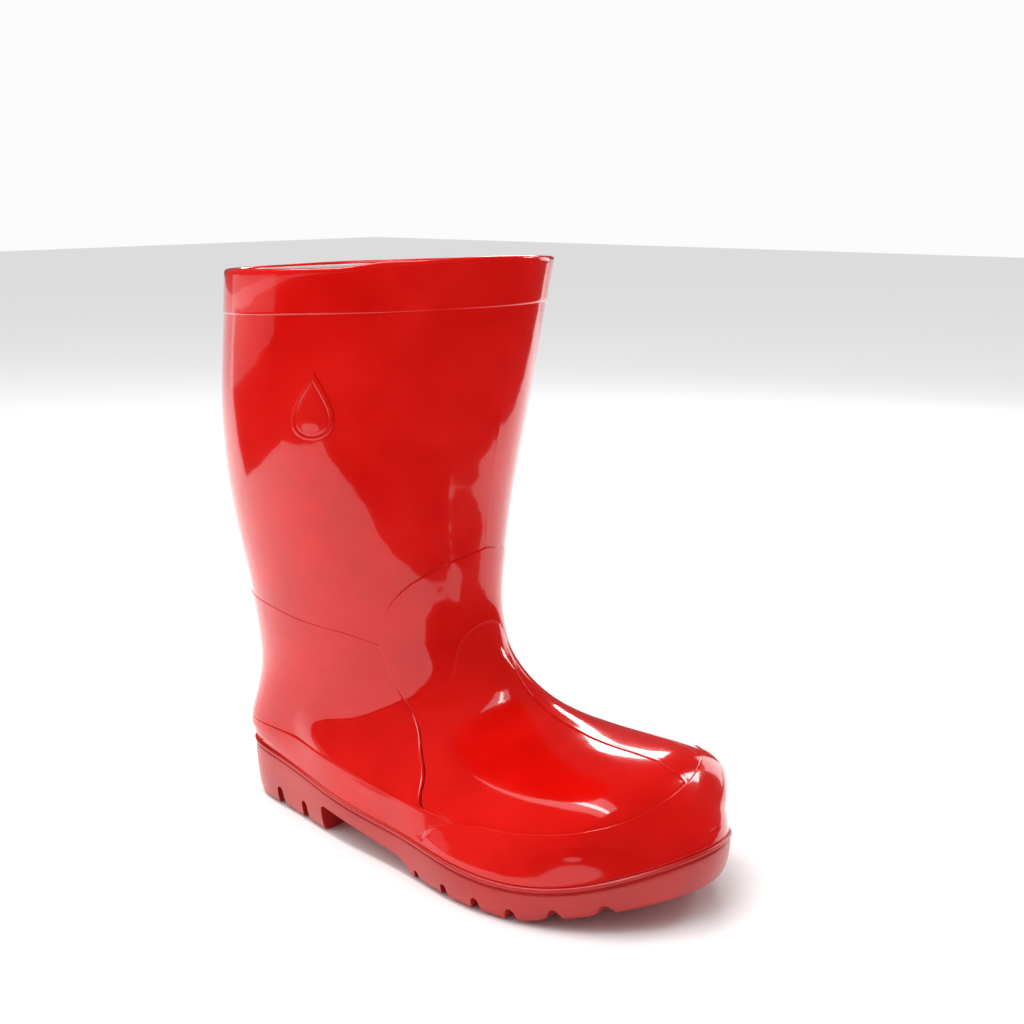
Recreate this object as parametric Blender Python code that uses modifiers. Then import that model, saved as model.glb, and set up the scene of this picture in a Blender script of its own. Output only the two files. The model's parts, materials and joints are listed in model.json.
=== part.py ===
"""Rubber rain boot for the right foot, junior size (about EU 31).

Metres, +Z up. The toe points to -Y, the medial (big toe) side is +X and the
lateral side is -X. The boot stands on z = 0 and the origin is the centre of
its footprint box. The tables below are in millimetres in the last maker's
frame: x to the medial side, y forward from the heel seat, z up.
"""

import math

import bmesh
import bpy
import numpy as np
from mathutils import Vector
from mathutils.bvhtree import BVHTree

# ---------------------------------------------------------------- dimensions
WALL = 2.0            # leg, vamp and counter sheet
LINING = 0.8          # knitted sock
LINING_GAP = 0.35     # between layers that touch on the real boot
STIFFENER = 0.6
VAMP_RAISE = 0.45     # the vamp lies on the leg sheet
COUNTER_RAISE = 0.2
OVERLAY_IN, OVERLAY_OUT = 1.2, 2.4    # foxing
GUARD_IN, GUARD_OUT = 1.65, 2.95       # toe guard
STRIP_IN, STRIP_OUT = 1.0, 1.9        # instep strip
BAND_IN, BAND_OUT = 0.35, 1.5         # top band
BADGE_IN, BADGE_OUT = 0.4, 1.3
BADGE_AT = (1.87, 0.595)              # place on the leg: station, turn
BADGE_HALF = (9.0, 12.5)
FOXING_HEIGHT = 11.5
SEAM = 0.25           # half of the gap between two panels that butt
LASTING = 6.5         # panel margin turned in under the foot
FOOTBED = 2.5
INSOLE = 1.5
HEEL_LUG = 8.0        # heel height below the waist of the sole
FORE_LUG = 4.5        # depth of the forefoot grooves
GROOVE, NOTCH = 3.6, 4.4   # widths of the forefoot grooves and of the heel's side notches
TOE_SPRING_FROM, TOE_SPRING = 160.0, 0.22
BEAD_OUT, BEAD_HIGH = 0.9, 1.8

RED = (0.62, 0.012, 0.010, 1)

# Stations of the last from the rim (0) to the toe tip (14). Each row gives the
# front or top point D and the back or bottom point P of a section, its half
# widths, where the widest line lies, the corner powers, and the side shifts.
#   u    Dy     Dz     Py     Pz     wl    wm    qc   np   nd   xd   xp
STATIONS = np.array([
    (0, 126.5, 215.5, -1.5, 209.0, 51.0, 51.0, .50, 2.2, 2.1, 0, 0),
    (1, 123.0, 198.0, -3.5, 191.0, 51.0, 51.0, .50, 2.2, 2.1, 0, 0),
    (2, 116.5, 162.0, -7.0, 156.0, 49.5, 48.0, .50, 2.2, 2.1, .5, 0),
    (3, 109.5, 132.0, -6.0, 121.5, 46.0, 44.0, .50, 2.2, 2.1, 2, 0),
    (4, 106.0, 108.0, -0.5, 91.5, 41.0, 39.0, .48, 2.2, 2.1, 3.5, 0),
    (5, 105.0, 89.5, 2.0, 67.0, 36.5, 34.5, .46, 2.2, 2.1, 5, 0),
    (6, 107.5, 77.0, 2.0, 46.0, 33.0, 31.5, .42, 2.6, 2.1, 6.5, 0),
    (7, 114.0, 68.5, 0.5, 27.5, 30.0, 29.0, .36, 4.0, 2.0, 7, 0),
    (8, 123.0, 61.0, 26.0, 23.0, 30.0, 27.5, .30, 4.4, 1.95, 8, 0),
    (9, 134.5, 55.5, 68.5, 19.5, 34.5, 29.0, .30, 4.6, 1.95, 8, 0),
    (10, 148.5, 52.0, 108.0, 16.0, 42.0, 34.5, .32, 4.6, 1.95, 8.5, 0),
    (11, 162.5, 50.5, 140.5, 15.0, 44.5, 39.0, .34, 4.4, 2.0, 8.5, 0),
    (12, 177.0, 49.5, 168.5, 16.0, 42.5, 38.0, .36, 3.8, 2.1, 8.5, .5),
    (13, 192.0, 44.5, 188.5, 19.5, 31.5, 31.5, .40, 3.2, 2.2, 7, 2),
    (14, 204.5, 29.5, 204.5, 29.5, 0, 0, .50, 2.2, 2.2, 3.5, 3.5),
])

# Outline of the sole at its top edge, once round from the heel seat.
OUTLINE = np.array([
    (0, -4.5), (-18.5, 3), (-26.2, 27), (-34.6, 64), (-40.2, 101), (-47, 133),
    (-44.5, 165.5), (-27.5, 194.5), (1.5, 207.5), (29, 194.5), (42, 167),
    (41, 137), (31.5, 101), (27.5, 65), (27.5, 29), (18, 3)], float)
SOLE_LINE = np.array([(-7, 24), (43, 20), (79, 16.5), (122, 15), (151, 13.5), (180, 16.5), (209, 26)], float)

# Seams as (station, turn); turn 0 is the back or sole centre and 1 the front.
LEG_SEAM = [(4.05, 0), (4.15, .14), (4.30, .26), (4.45, .36), (4.70, .46), (4.90, .54), (5.12, .62), (5.50, .70)]
VAMP_SEAM = [(3.83, 1.0), (3.90, .94), (4.00, .88), (4.20, .81), (4.40, .77), (4.65, .74), (5.05, .712), (5.50, .70),
             (5.90, .705), (6.70, .72), (7.65, .705), (8.40, .65), (8.80, .60), (9.35, .53), (9.75, .46), (10.0, .42),
             (10.3, .374), (10.6, .336), (10.75, .327)]

# Upper edge of the toe guard from the lateral to the medial side, x y z.
GUARD_EDGE = np.array([
    (-41, 117.5, 21), (-41.5, 124, 24), (-42, 133, 27), (-42, 144, 29), (-41.5, 154, 29.5), (-40, 163.5, 31),
    (-37.5, 173, 32.5), (-33, 181.5, 34.5), (-25, 189, 37), (-13, 193.5, 40), (0, 194.5, 42.5), (12, 192, 44.5),
    (22, 186.5, 44.5), (30, 178.5, 41), (35, 169, 36), (37, 159, 32), (38, 149, 29.5), (37.5, 139, 28),
    (37, 130, 26.5), (36.5, 122, 24), (36, 115.5, 21)], float)


# ------------------------------------------------------------------- helpers
def spline(xk, yk):
    """Natural cubic spline through the knots."""
    xk, yk = np.asarray(xk, float), np.asarray(yk, float)
    n, h = len(xk), np.diff(xk)
    a, b = np.zeros((n, n)), np.zeros(n)
    a[0, 0] = a[-1, -1] = 1
    for i in range(1, n - 1):
        a[i, i - 1], a[i, i], a[i, i + 1] = h[i - 1], 2 * (h[i - 1] + h[i]), h[i]
        b[i] = 6 * ((yk[i + 1] - yk[i]) / h[i] - (yk[i] - yk[i - 1]) / h[i - 1])
    m = np.linalg.solve(a, b)

    def value(x):
        x = np.asarray(x, float)
        i = np.clip(np.searchsorted(xk, x) - 1, 0, n - 2)
        t, hi = x - xk[i], h[i]
        return (yk[i] + t * ((yk[i + 1] - yk[i]) / hi - hi * (2 * m[i] + m[i + 1]) / 6)
                + t ** 2 * m[i] / 2 + t ** 3 * (m[i + 1] - m[i]) / (6 * hi))
    return value


def through(points, count, closed=False):
    """Evenly spaced points on a smooth curve through the given points."""
    p = np.asarray(points, float)
    if closed:
        p = np.vstack([p[-4:], p, p[:5]])
    s = np.concatenate([[0], np.cumsum(np.linalg.norm(np.diff(p, axis=0), axis=1) ** .5)])
    f = [spline(s, p[:, k]) for k in range(p.shape[1])]
    lo, hi = (s[4], s[-5]) if closed else (s[0], s[-1])
    t = np.linspace(lo, hi, 1200)
    q = np.stack([g(t) for g in f], 1)
    d = np.concatenate([[0], np.cumsum(np.linalg.norm(np.diff(q, axis=0), axis=1))])
    want = np.linspace(0, d[-1], count + 1)[:-1] if closed else np.linspace(0, d[-1], count)
    return np.stack([np.interp(want, d, q[:, k]) for k in range(p.shape[1])], 1)


NU, NV = 281, 192


def last_surface():
    """Dense grid of the outer surface of the leg and foot, with its normals."""
    u = np.linspace(0, 14, NU)
    col = [spline(STATIONS[:, 0], STATIONS[:, k])(u) for k in range(1, 12)]
    grid, girth = np.zeros((NU, NV, 3)), np.zeros((NU, 2))
    th = np.linspace(0, math.pi / 2, 160)
    sin, cos = np.sin(th), np.cos(th)
    for i in range(NU):
        dy, dz, py, pz, wl, wm, qc, n1, n2, xd, xp = [c[i] for c in col]
        height = math.hypot(dy - py, dz - pz)
        halves = []
        for side, w in ((-1, max(wl, 0)), (1, max(wm, 0))):
            x = np.concatenate([w * sin ** (2 / n1), (w * sin ** (2 / n2))[::-1][1:]])
            q = np.concatenate([qc * (1 - cos ** (2 / n1)), (1 - (1 - qc) * (1 - cos ** (2 / n2)))[::-1][1:]])
            s = np.concatenate([[0], np.cumsum(np.hypot(np.diff(x), np.diff(q) * height))])
            t = np.linspace(0, s[-1], NV // 2 + 1)
            halves.append((side * np.interp(t, s, x), np.interp(t, s, q)))
            girth[i, 0 if side < 0 else 1] = s[-1]
        x = np.concatenate([halves[0][0], halves[1][0][::-1][1:-1]])
        q = np.concatenate([halves[0][1], halves[1][1][::-1][1:-1]])
        grid[i] = np.stack([x + xp + (xd - xp) * q, py + (dy - py) * q, pz + (dz - pz) * q], 1)
    du = np.gradient(grid, axis=0)
    dv = (np.roll(grid, -1, 1) - np.roll(grid, 1, 1)) / 2
    normal = np.cross(du, dv)
    normal[-1] = (0, 1, 0)
    size = np.linalg.norm(normal, axis=2, keepdims=True)
    normal = normal / np.maximum(size, 1e-9)
    middle = grid.mean(axis=1, keepdims=True)
    if ((grid - middle) * normal).sum() < 0:
        normal[:-1] *= -1
    return grid, normal, girth, np.maximum((np.maximum(col[4], 0) + np.maximum(col[5], 0)) / 2, 0)


GRID, NORMAL, GIRTH, HALF = last_surface()


def bend_measure():
    """For each station, how far round each turn lies when bends count as well as length."""
    table = np.zeros((NU, NV + 1))
    for i in range(NU - 1):
        loop = GRID[i]
        seg = np.roll(loop, -1, 0) - loop
        length = np.linalg.norm(seg, axis=1)
        d = seg / np.maximum(length, 1e-9)[:, None]
        bend = np.arccos(np.clip((d * np.roll(d, 1, 0)).sum(1), -1, 1))
        bend = sum(np.roll(bend, k) for k in range(-4, 5)) / 9
        bend = (bend + np.roll(bend, -1)) / 2
        m = length / length.sum() + 1.4 * bend / max(bend.sum(), 1e-9)
        m = (m + m[::-1]) / 2
        table[i, 1:] = np.cumsum(m) / m.sum() * 2
    table[-1] = table[-2]
    return table


BENDS = bend_measure()


def to_even(u, v):
    """Turn v as an evenly bending coordinate."""
    u, v = np.broadcast_arrays(np.asarray(u, float), np.asarray(v, float))
    out = np.empty(u.shape)
    for n in np.ndindex(u.shape):
        i = min(int(round(u[n] / 14 * (NU - 1))), NU - 1)
        whole = math.floor(v[n] / 2) * 2
        out[n] = whole + np.interp((v[n] - whole) / 2 * NV, np.arange(NV + 1), BENDS[i])
    return out


def from_even(u, w):
    """The turn of an evenly bending coordinate."""
    u, w = np.broadcast_arrays(np.asarray(u, float), np.asarray(w, float))
    out = np.empty(u.shape)
    for n in np.ndindex(u.shape):
        i = min(int(round(u[n] / 14 * (NU - 1))), NU - 1)
        whole = math.floor(w[n] / 2) * 2
        out[n] = whole + np.interp(w[n] - whole, BENDS[i], np.arange(NV + 1)) / NV * 2
    return out


def spread(u, v0, v1, count):
    """Turns from v0 to v1 at each station, close together where the section bends."""
    w0, w1 = to_even(u, v0), to_even(u, v1)
    w = w0[:, None] + (w1 - w0)[:, None] * np.linspace(0, 1, count)[None]
    return from_even(np.repeat(np.asarray(u)[:, None], count, 1), w)


def at(u, v, lift=0.0):
    """Points of the last at station u and turn v, moved out along the normal."""
    u, v = np.broadcast_arrays(np.asarray(u, float), np.asarray(v, float))
    a = np.clip(u / 14 * (NU - 1), 0, NU - 1 - 1e-9)
    b = (v % 2.0) / 2.0 * NV
    i, j = a.astype(int), b.astype(int) % NV
    k = (j + 1) % NV
    a, b = (a - i)[..., None], (b - np.floor(b))[..., None]

    def mix(g):
        return (1 - a) * ((1 - b) * g[i, j] + b * g[i, k]) + a * ((1 - b) * g[i + 1, j] + b * g[i + 1, k])
    n = mix(NORMAL)
    n = n / np.linalg.norm(n, axis=-1, keepdims=True)
    return mix(GRID) + n * np.asarray(lift)[..., None]


def half_girth(u):
    return np.interp(np.asarray(u, float) / 14 * (NU - 1), np.arange(NU), GIRTH.mean(axis=1))


def half_width(u):
    return np.interp(np.asarray(u, float) / 14 * (NU - 1), np.arange(NU), HALF)


def sole_turn(u, margin):
    """Turn at which the sole side of the last is `margin` in from its edge."""
    return np.maximum((half_width(u) - margin) / half_girth(u), 0.06)


def steer(curve, shift):
    """A seam moved sideways on the surface by `shift` mm (to lower turn and later station)."""
    c = np.asarray(curve, float)
    eps = 1e-2
    gu = np.linalg.norm(at(c[:, 0] + eps, c[:, 1]) - at(c[:, 0] - eps, c[:, 1]), axis=1) / (2 * eps)
    gv = np.linalg.norm(at(c[:, 0], c[:, 1] + eps) - at(c[:, 0], c[:, 1] - eps), axis=1) / (2 * eps)
    t = np.gradient(c, axis=0) * np.stack([gu, gv], 1)
    t = t / np.linalg.norm(t, axis=1, keepdims=True)
    return c + shift * np.stack([t[:, 1] / gu, -t[:, 0] / gv], 1)


def sole_z(y):
    return spline(SOLE_LINE[:, 0], SOLE_LINE[:, 1])(y)


def outward(o):
    t = np.roll(o, -1, 0) - np.roll(o, 1, 0)
    t = t / np.linalg.norm(t, axis=1, keepdims=True)
    n = np.stack([t[:, 1], -t[:, 0]], 1)
    return n if ((o - o.mean(0)) * n).sum() > 0 else -n


Y_ORIGIN = 101.0      # moved to the footprint centre at the end


def world(p):
    p = np.asarray(p, float).reshape(-1, 3)
    return [(x / 1000, (Y_ORIGIN - y) / 1000, z / 1000) for x, y, z in p]


def material(name, colour, rough=0.25, metal=0.0, coat=0.0):
    m = bpy.data.materials.new(name)
    m.use_nodes = True
    b = m.node_tree.nodes["Principled BSDF"]
    b.inputs["Base Color"].default_value = colour
    b.inputs["Roughness"].default_value = rough
    b.inputs["Metallic"].default_value = metal
    b.inputs["Coat Weight"].default_value = coat
    m.diffuse_color = colour
    return m


def new_object(name, mesh, mat, where):
    obj = bpy.data.objects.new(name, mesh)
    where.objects.link(obj)
    if mat:
        mesh.materials.append(mat)
    return obj


def sheet(name, points, mat, where, thick, closed=False, pole=False):
    """A lofted sheet of rows of points, made solid with Solidify toward the foot."""
    rows, cols = points.shape[:2]
    bm = bmesh.new()
    vs = []
    for r in range(rows):
        if pole and r == rows - 1:
            vs.append([bm.verts.new(world(points[r].mean(axis=0))[0])] * cols)
        else:
            vs.append([bm.verts.new(p) for p in world(points[r])])
    for r in range(rows - 1):
        for c in range(cols if closed else cols - 1):
            d = (c + 1) % cols
            ring = [vs[r][c], vs[r][d], vs[r + 1][d], vs[r + 1][c]]
            ring = [v for i, v in enumerate(ring) if v not in ring[:i]]
            if len(ring) > 2:
                bm.faces.new(ring)
    bmesh.ops.recalc_face_normals(bm, faces=bm.faces)
    bm.normal_update()
    # Face the sheet away from the inside of the last.
    score = 0.0
    for f in bm.faces:
        c = f.calc_center_median()
        hit = TREE.find_nearest(c)
        score += f.normal.dot(hit[1]) * f.calc_area()
    if score < 0:
        bmesh.ops.reverse_faces(bm, faces=bm.faces)
    mesh = bpy.data.meshes.new(name)
    bm.to_mesh(mesh)
    bm.free()
    obj = new_object(name, mesh, mat, where)
    s = obj.modifiers.new("Solidify", "SOLIDIFY")
    s.thickness = thick / 1000
    s.offset = -1
    s.use_rim = True
    return obj


def last_tree():
    verts = [Vector(p) for p in world(GRID)]
    faces = []
    for i in range(NU - 1):
        for j in range(NV):
            k = (j + 1) % NV
            faces.append((i * NV + j, (i + 1) * NV + j, (i + 1) * NV + k, i * NV + k))
    tree = BVHTree.FromPolygons(verts, faces)
    # The tree's normals must face out, as the sheets are turned by them.
    c = Vector(world([(0, 60, 150)])[0])
    hit = tree.find_nearest(Vector(world([(-60, 60, 150)])[0]))
    if hit[1].dot(hit[0] - c) < 0:
        tree = BVHTree.FromPolygons(verts, [f[::-1] for f in faces])
    return tree


TREE = last_tree()


def snap(p, lift):
    """Nearest points of the last to p (mm), moved out by lift, with smooth normals."""
    flat = np.asarray(p, float).reshape(-1, 3)
    out = np.zeros_like(flat)
    for n, q in enumerate(world(flat)):
        index = TREE.find_nearest(Vector(q))[2]
        hit = TREE.find_nearest(Vector(q))[0]
        h = np.array((hit[0] * 1000, Y_ORIGIN - hit[1] * 1000, hit[2] * 1000))
        i, j = divmod(index, NV)
        k = (j + 1) % NV
        corner = [(i, j), (i + 1, j), (i + 1, k), (i, k)]
        w = np.array([1 / (np.linalg.norm(GRID[c] - h) + 1e-3) for c in corner])
        m = sum(wc * NORMAL[c] for wc, c in zip(w, corner))
        out[n] = h + m / np.linalg.norm(m) * lift
    return out.reshape(np.shape(p))


def cast(origin, toward, z):
    """Outer surface of the last seen from inside at height z, in mm."""
    o = Vector(world([(origin[0], origin[1], z)])[0])
    d = Vector(world([(toward[0], toward[1], z)])[0]) - o
    hit = TREE.ray_cast(o, d.normalized(), 0.2)[0]
    if hit is None:
        return None
    return np.array((hit[0] * 1000, Y_ORIGIN - hit[1] * 1000))


# --------------------------------------------------------------------- scene
for old in list(bpy.data.objects):
    bpy.data.objects.remove(old, do_unlink=True)
boot = bpy.data.collections.new("rain_boot")
tools = bpy.data.collections.new("cutters")
bpy.context.scene.collection.children.link(boot)
bpy.context.scene.collection.children.link(tools)

gloss_red = material("gloss red rubber", RED, 0.12, 0, 0.6)
panel_red = material("gloss red panel", (0.66, 0.016, 0.013, 1), 0.12, 0, 0.6)
trim_red = material("gloss red trim", (0.55, 0.010, 0.010, 1), 0.14, 0, 0.6)
sole_red = material("red sole rubber", (0.50, 0.012, 0.012, 1), 0.22, 0, 0.4)
knit = material("white knit", (0.82, 0.79, 0.77, 1), 0.9)
board = material("insole board", (0.52, 0.40, 0.27, 1), 0.85)
foam = material("footbed foam", (0.30, 0.30, 0.32, 1), 0.8)
filler = material("filler foam", (0.20, 0.20, 0.20, 1), 0.85)
stiff = material("stiffener felt", (0.60, 0.58, 0.52, 1), 0.9)

# Leg: a tube from the rim down to the counter and vamp seams.
leg_curve = steer(through([(u, v) for u, v in LEG_SEAM], 60), 0)
vamp_curve = through(VAMP_SEAM, 120)
half_turns = np.array([0, .07, .14, .21, .28, .35, .42, .49, .56, .62, .67, .70, .715, .74, .77, .81, .86, .91, .955, 1.0])
turns = np.concatenate([half_turns, (2 - half_turns[1:-1])[::-1]])
edge = np.vstack([leg_curve, vamp_curve[:np.argmin(np.abs(vamp_curve[:, 0] - 5.5) + 9 * (vamp_curve[:, 1] < .69))][::-1]])
edge = edge[np.argsort(edge[:, 1], kind="stable")]


def leg_edge(v):
    """Station of the leg's lower edge at turn v."""
    v = np.where(v > 1, 2 - v, v)
    return np.interp(v, edge[:, 1], edge[:, 0])


drop = np.linspace(0, 1, 11)
leg_low = leg_edge(turns) - 0.035
leg_points = at(np.outer(drop, leg_low), np.broadcast_to(turns, (len(drop), len(turns))))
sheet("leg_shell", leg_points, gloss_red, boot, WALL, closed=True)

# Top band: a raised cuff round the rim.
band_points = at(np.outer([0.0, .32, .64, .95], np.ones(len(turns))), np.broadcast_to(turns, (4, len(turns))), BAND_OUT)
sheet("top_band", band_points, trim_red, boot, BAND_OUT - BAND_IN, closed=True)

# Vamp: from its point on the shin to the toe tip, turned in under the foot.
rows = np.array([3.88, 3.97, 4.12, 4.35, 4.65, 5.05, 5.5, 6.0, 6.6, 7.2, 7.8, 8.4, 8.9, 9.4, 9.75, 10.05, 10.35, 10.62,
                 10.95, 11.3, 11.7, 12.1, 12.5, 12.9, 13.2, 13.5, 13.75, 13.9])
seam_v = vamp_curve[np.argsort(vamp_curve[:, 0])]
side = np.where(rows < 10.7, np.interp(rows, seam_v[:, 0], seam_v[:, 1]) + SEAM / half_girth(rows), sole_turn(rows, LASTING))
across = np.linspace(0, 1, 27)
vamp_v = spread(rows, side, 2 - side, len(across))
vamp_points = at(np.broadcast_to(rows[:, None], vamp_v.shape), vamp_v, VAMP_RAISE)
tip = at(14.0, 1.0, VAMP_RAISE)
vamp_points = np.concatenate([vamp_points, np.broadcast_to(tip, (1, len(across), 3))])
sheet("vamp", vamp_points, panel_red, boot, WALL + VAMP_RAISE, pole=True)


# Heel counter: a patch between the leg seam, the sole and both vamp seams.
def counter_uv(n_side, n_down, lift_shift=SEAM, top_shift=0.04, bottom_margin=LASTING):
    s, t = np.linspace(0, 1, n_side), np.linspace(0, 1, n_down)
    top_v = .695 * s
    top = np.stack([leg_edge(top_v) + top_shift, top_v], 1)
    far = through([(5.54, .695), (5.90, .70), (6.70, .715), (7.65, .70), (8.40, .645), (8.80, .595), (9.35, .525),
                   (9.75, .455), (10.0, .415), (10.3, .367), (10.58, .326)], n_down)
    far[:, 1] -= lift_shift / half_girth(far[:, 0])
    low_u = np.interp(s, [0, .12, .22, .32, .45, 1], [7.22, 7.22, 7.27, 7.55, 8.0, 10.58])
    low_v = np.interp(s, [0, .12, .22, .32], [0, .07, .125, .16])
    low = np.stack([low_u, np.where(s > .32, sole_turn(low_u, bottom_margin), low_v)], 1)
    far = far + np.outer(t, low[-1] - far[-1]) ** 1
    near = np.stack([top[0, 0] + (low[0, 0] - top[0, 0]) * t, 0 * t], 1)
    top[:, 1], low[:, 1] = to_even(top[:, 0], top[:, 1]), to_even(low[:, 0], low[:, 1])
    far[:, 1] = to_even(far[:, 0], far[:, 1])
    p = ((1 - t)[:, None, None] * top[None] + t[:, None, None] * low[None]
         + (1 - s)[None, :, None] * near[:, None] + s[None, :, None] * far[:, None]
         - (1 - t)[:, None, None] * ((1 - s)[None, :, None] * top[0] + s[None, :, None] * top[-1])
         - t[:, None, None] * ((1 - s)[None, :, None] * low[0] + s[None, :, None] * low[-1]))
    p[..., 1] = from_even(p[..., 0], p[..., 1])
    left = p[:, ::-1].copy()
    right = p.copy()
    right[..., 1] *= -1
    return np.concatenate([left, right[:, 1:]], axis=1)


counter = counter_uv(15, 17)
sheet("heel_counter", at(counter[..., 0], counter[..., 1], COUNTER_RAISE), panel_red, boot, WALL + COUNTER_RAISE)

# Insole board, level with the turned-in panels.
board_u = np.array([7.75, 7.85, 8.0, 8.3, 8.7, 9.2, 9.7, 10.2, 10.7, 11.2, 11.7, 12.2, 12.6, 13.0, 13.3, 13.5])
fan = np.linspace(-1, 1, 9)
half = np.minimum(sole_turn(board_u, LASTING + 2.0), .09 + (board_u - 7.75) * .3)
sheet("insole_board", at(np.repeat(board_u[:, None], 9, 1), half[:, None] * fan, -0.3), board, boot, INSOLE)

# Stiffeners between the sock and the rubber.
inner = -(WALL + LINING_GAP)
uv = counter[3:15, 3:-3]
sheet("heel_stiffener", at(uv[..., 0], uv[..., 1], inner), stiff, boot, STIFFENER)
puff_v = vamp_v[21:, 5:-5]
puff = at(np.broadcast_to(rows[21:, None], puff_v.shape), puff_v, inner - .15)
sheet("toe_puff", np.concatenate([puff, np.broadcast_to(at(14.0, 1.0, inner - 1.0), (1, puff.shape[1], 3))]), stiff, boot,
      STIFFENER, pole=True)

# Knitted sock lining from the rim to the toe.
sock_lift = inner - STIFFENER - LINING_GAP - 0.15
sock_u = np.array([0.03, 1.0, 2.0, 3.0, 3.8, 4.5, 5.1, 5.7, 6.2, 6.6, 6.9, 7.1, 7.35, 7.7, 8.2, 8.8, 9.4, 10.0, 10.7, 11.4,
                   12.1, 12.7, 13.1, 13.4, 13.65])
sock_v = spread(sock_u, 0 * sock_u, 0 * sock_u + 2, 35)[:, :-1]
sock_in = sock_lift - np.interp(sock_u, [3.6, 5.8, 6.8, 8.5, 9.4, 11.0, 12.8, 13.6], [0, .1, .7, .8, 1.5, 1.2, 1.2, 2.0])
sock = at(np.repeat(sock_u[:, None], 34, 1), sock_v, sock_in[:, None] + 0 * sock_v)
sock = np.concatenate([sock, np.broadcast_to(at(14.0, 1.0, sock_in[-1] - 2.0), (1, 34, 3))])
sheet("knit_lining", sock, knit, boot, LINING, closed=True, pole=True)

# Loose footbed on the sock.
bed_u = np.array([7.62, 7.8, 8.1, 8.5, 9.0, 9.5, 10.0, 10.5, 11.0, 11.5, 12.0, 12.4, 12.8, 13.1])
bed_half = np.minimum(sole_turn(bed_u, 8.5), .12 + (bed_u - 7.62) * .4)
bed_lift = sock_lift - 1.5 - LINING - LINING_GAP - 0.2
sheet("footbed", at(np.repeat(bed_u[:, None], 9, 1), bed_half[:, None] * fan, bed_lift), foam, boot, FOOTBED)

# Instep strip along the ridge of the vamp.
strip_u = np.array([6.2, 6.7, 7.3, 7.9, 8.5, 9.2, 9.9, 10.6, 11.3, 11.9, 12.3, 12.58])
strip_a = np.interp(strip_u, [6.2, 7.3, 8.25, 9.4, 10.65, 11.5, 12.2, 12.72], [1.035, 1.0, .98, .955, .935, .925, .93, .945])
strip_b = np.interp(strip_u, [6.2, 7.3, 8.25, 9.4, 10.65, 11.5, 12.2, 12.72], [1.075, 1.085, 1.10, 1.115, 1.125, 1.135, 1.15, 1.17])
strip_v = strip_a[:, None] + (strip_b - strip_a)[:, None] * np.linspace(0, 1, 7)[None]
sheet("instep_strip", at(np.repeat(strip_u[:, None], 7, 1), strip_v, STRIP_OUT), trim_red, boot, STRIP_OUT - STRIP_IN)

# Foxing and toe guard: walls that stand on the sole's edge.
rim_line = through(OUTLINE, 360, closed=True)
rim_out = outward(rim_line)


def wall_point(k, up, lift=OVERLAY_OUT):
    """Outer face of the wall over outline point k (may be fractional), `up` mm above the sole line."""
    k = k % 360
    i, f = int(k), k - int(k)
    o = rim_line[i] * (1 - f) + rim_line[(i + 1) % 360] * f
    n = rim_out[i] * (1 - f) + rim_out[(i + 1) % 360] * f
    z = float(sole_z(o[1])) + up
    centre = np.array((1.0 + 2.0 * (o[1] > 100), min(max(o[1], 28.0), 160.0)))
    hit = cast(centre, o, max(z, float(sole_z(o[1])) + 5.0))
    edge_in = o - n * 0.9
    if hit is None:
        return np.array((*edge_in, z))
    body = hit + n * lift
    t = min(1.0, max(0.0, up / 4.5))
    if ((body - edge_in) * n).sum() > 0:
        t = 1.0
    p = edge_in * (1 - t) + body * t
    return np.array((*p, z))


def outline_index(x_side, y):
    """Outline position nearest to height y on the lateral (-1) or medial (+1) side."""
    ok = np.sign(rim_line[:, 0]) == x_side
    return int(np.argmin(np.where(ok, np.abs(rim_line[:, 1] - y), 1e9)))


lat = {y: outline_index(-1, y) for y in (112, 122)}
med = {y: outline_index(1, y) for y in (111, 121)}
levels = [FOXING_HEIGHT, 8.0, 4.2, 0.5]
ends_lat = np.interp(levels, [0.5, FOXING_HEIGHT], [lat[112], lat[122]])
ends_med = np.interp(levels, [0.5, FOXING_HEIGHT], [med[111], med[121]])
fox = []
for up, a, b in zip(levels, ends_lat, ends_med):
    # from the medial end round the heel (index 0 or 360) to the lateral end
    ks = np.linspace(b - 360, a, 47)
    fox.append([wall_point(k, up) for k in ks])
sheet("foxing", np.array(fox), trim_red, boot, OVERLAY_OUT - OVERLAY_IN)

guard_top = snap(through(GUARD_EDGE, 41), GUARD_OUT)
ks = np.linspace(outline_index(-1, 116.5), outline_index(1, 114.5), 41)
rise = guard_top[:, 2] - sole_z(guard_top[:, 1])
low = np.array([wall_point(k, 0.9 + 0.8 * max(0, 1 - r / 8), GUARD_OUT) for k, r in zip(ks, rise)])
guard = [guard_top]
for f in (.14, .28, .42, .56, .70, .85):
    line = guard_top * (1 - f) + low * f
    over = snap(line, GUARD_OUT)
    row = []
    for p, q in zip(line, over):
        up = p[2] - float(sole_z(p[1]))
        k = float(np.argmin(((rim_line - p[:2]) ** 2).sum(1)))
        w = wall_point(k, max(up, .5), GUARD_OUT)
        mix = min(max((up - 4.0) / 4.0, 0.0), 1.0)
        row.append(q * mix + w * (1 - mix))
    row = np.array(row)
    # stay outside the vamp
    near = snap(row, 0.0)
    gap = np.linalg.norm(row - near, axis=1, keepdims=True)
    lifted = snap(row, GUARD_OUT)
    lifted[:, 2] = np.maximum(lifted[:, 2], sole_z(lifted[:, 1]) + .5)
    row = np.where(gap < GUARD_OUT, lifted, row)
    guard.append(row)
guard.append(low)
guard = np.array(guard)
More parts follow.
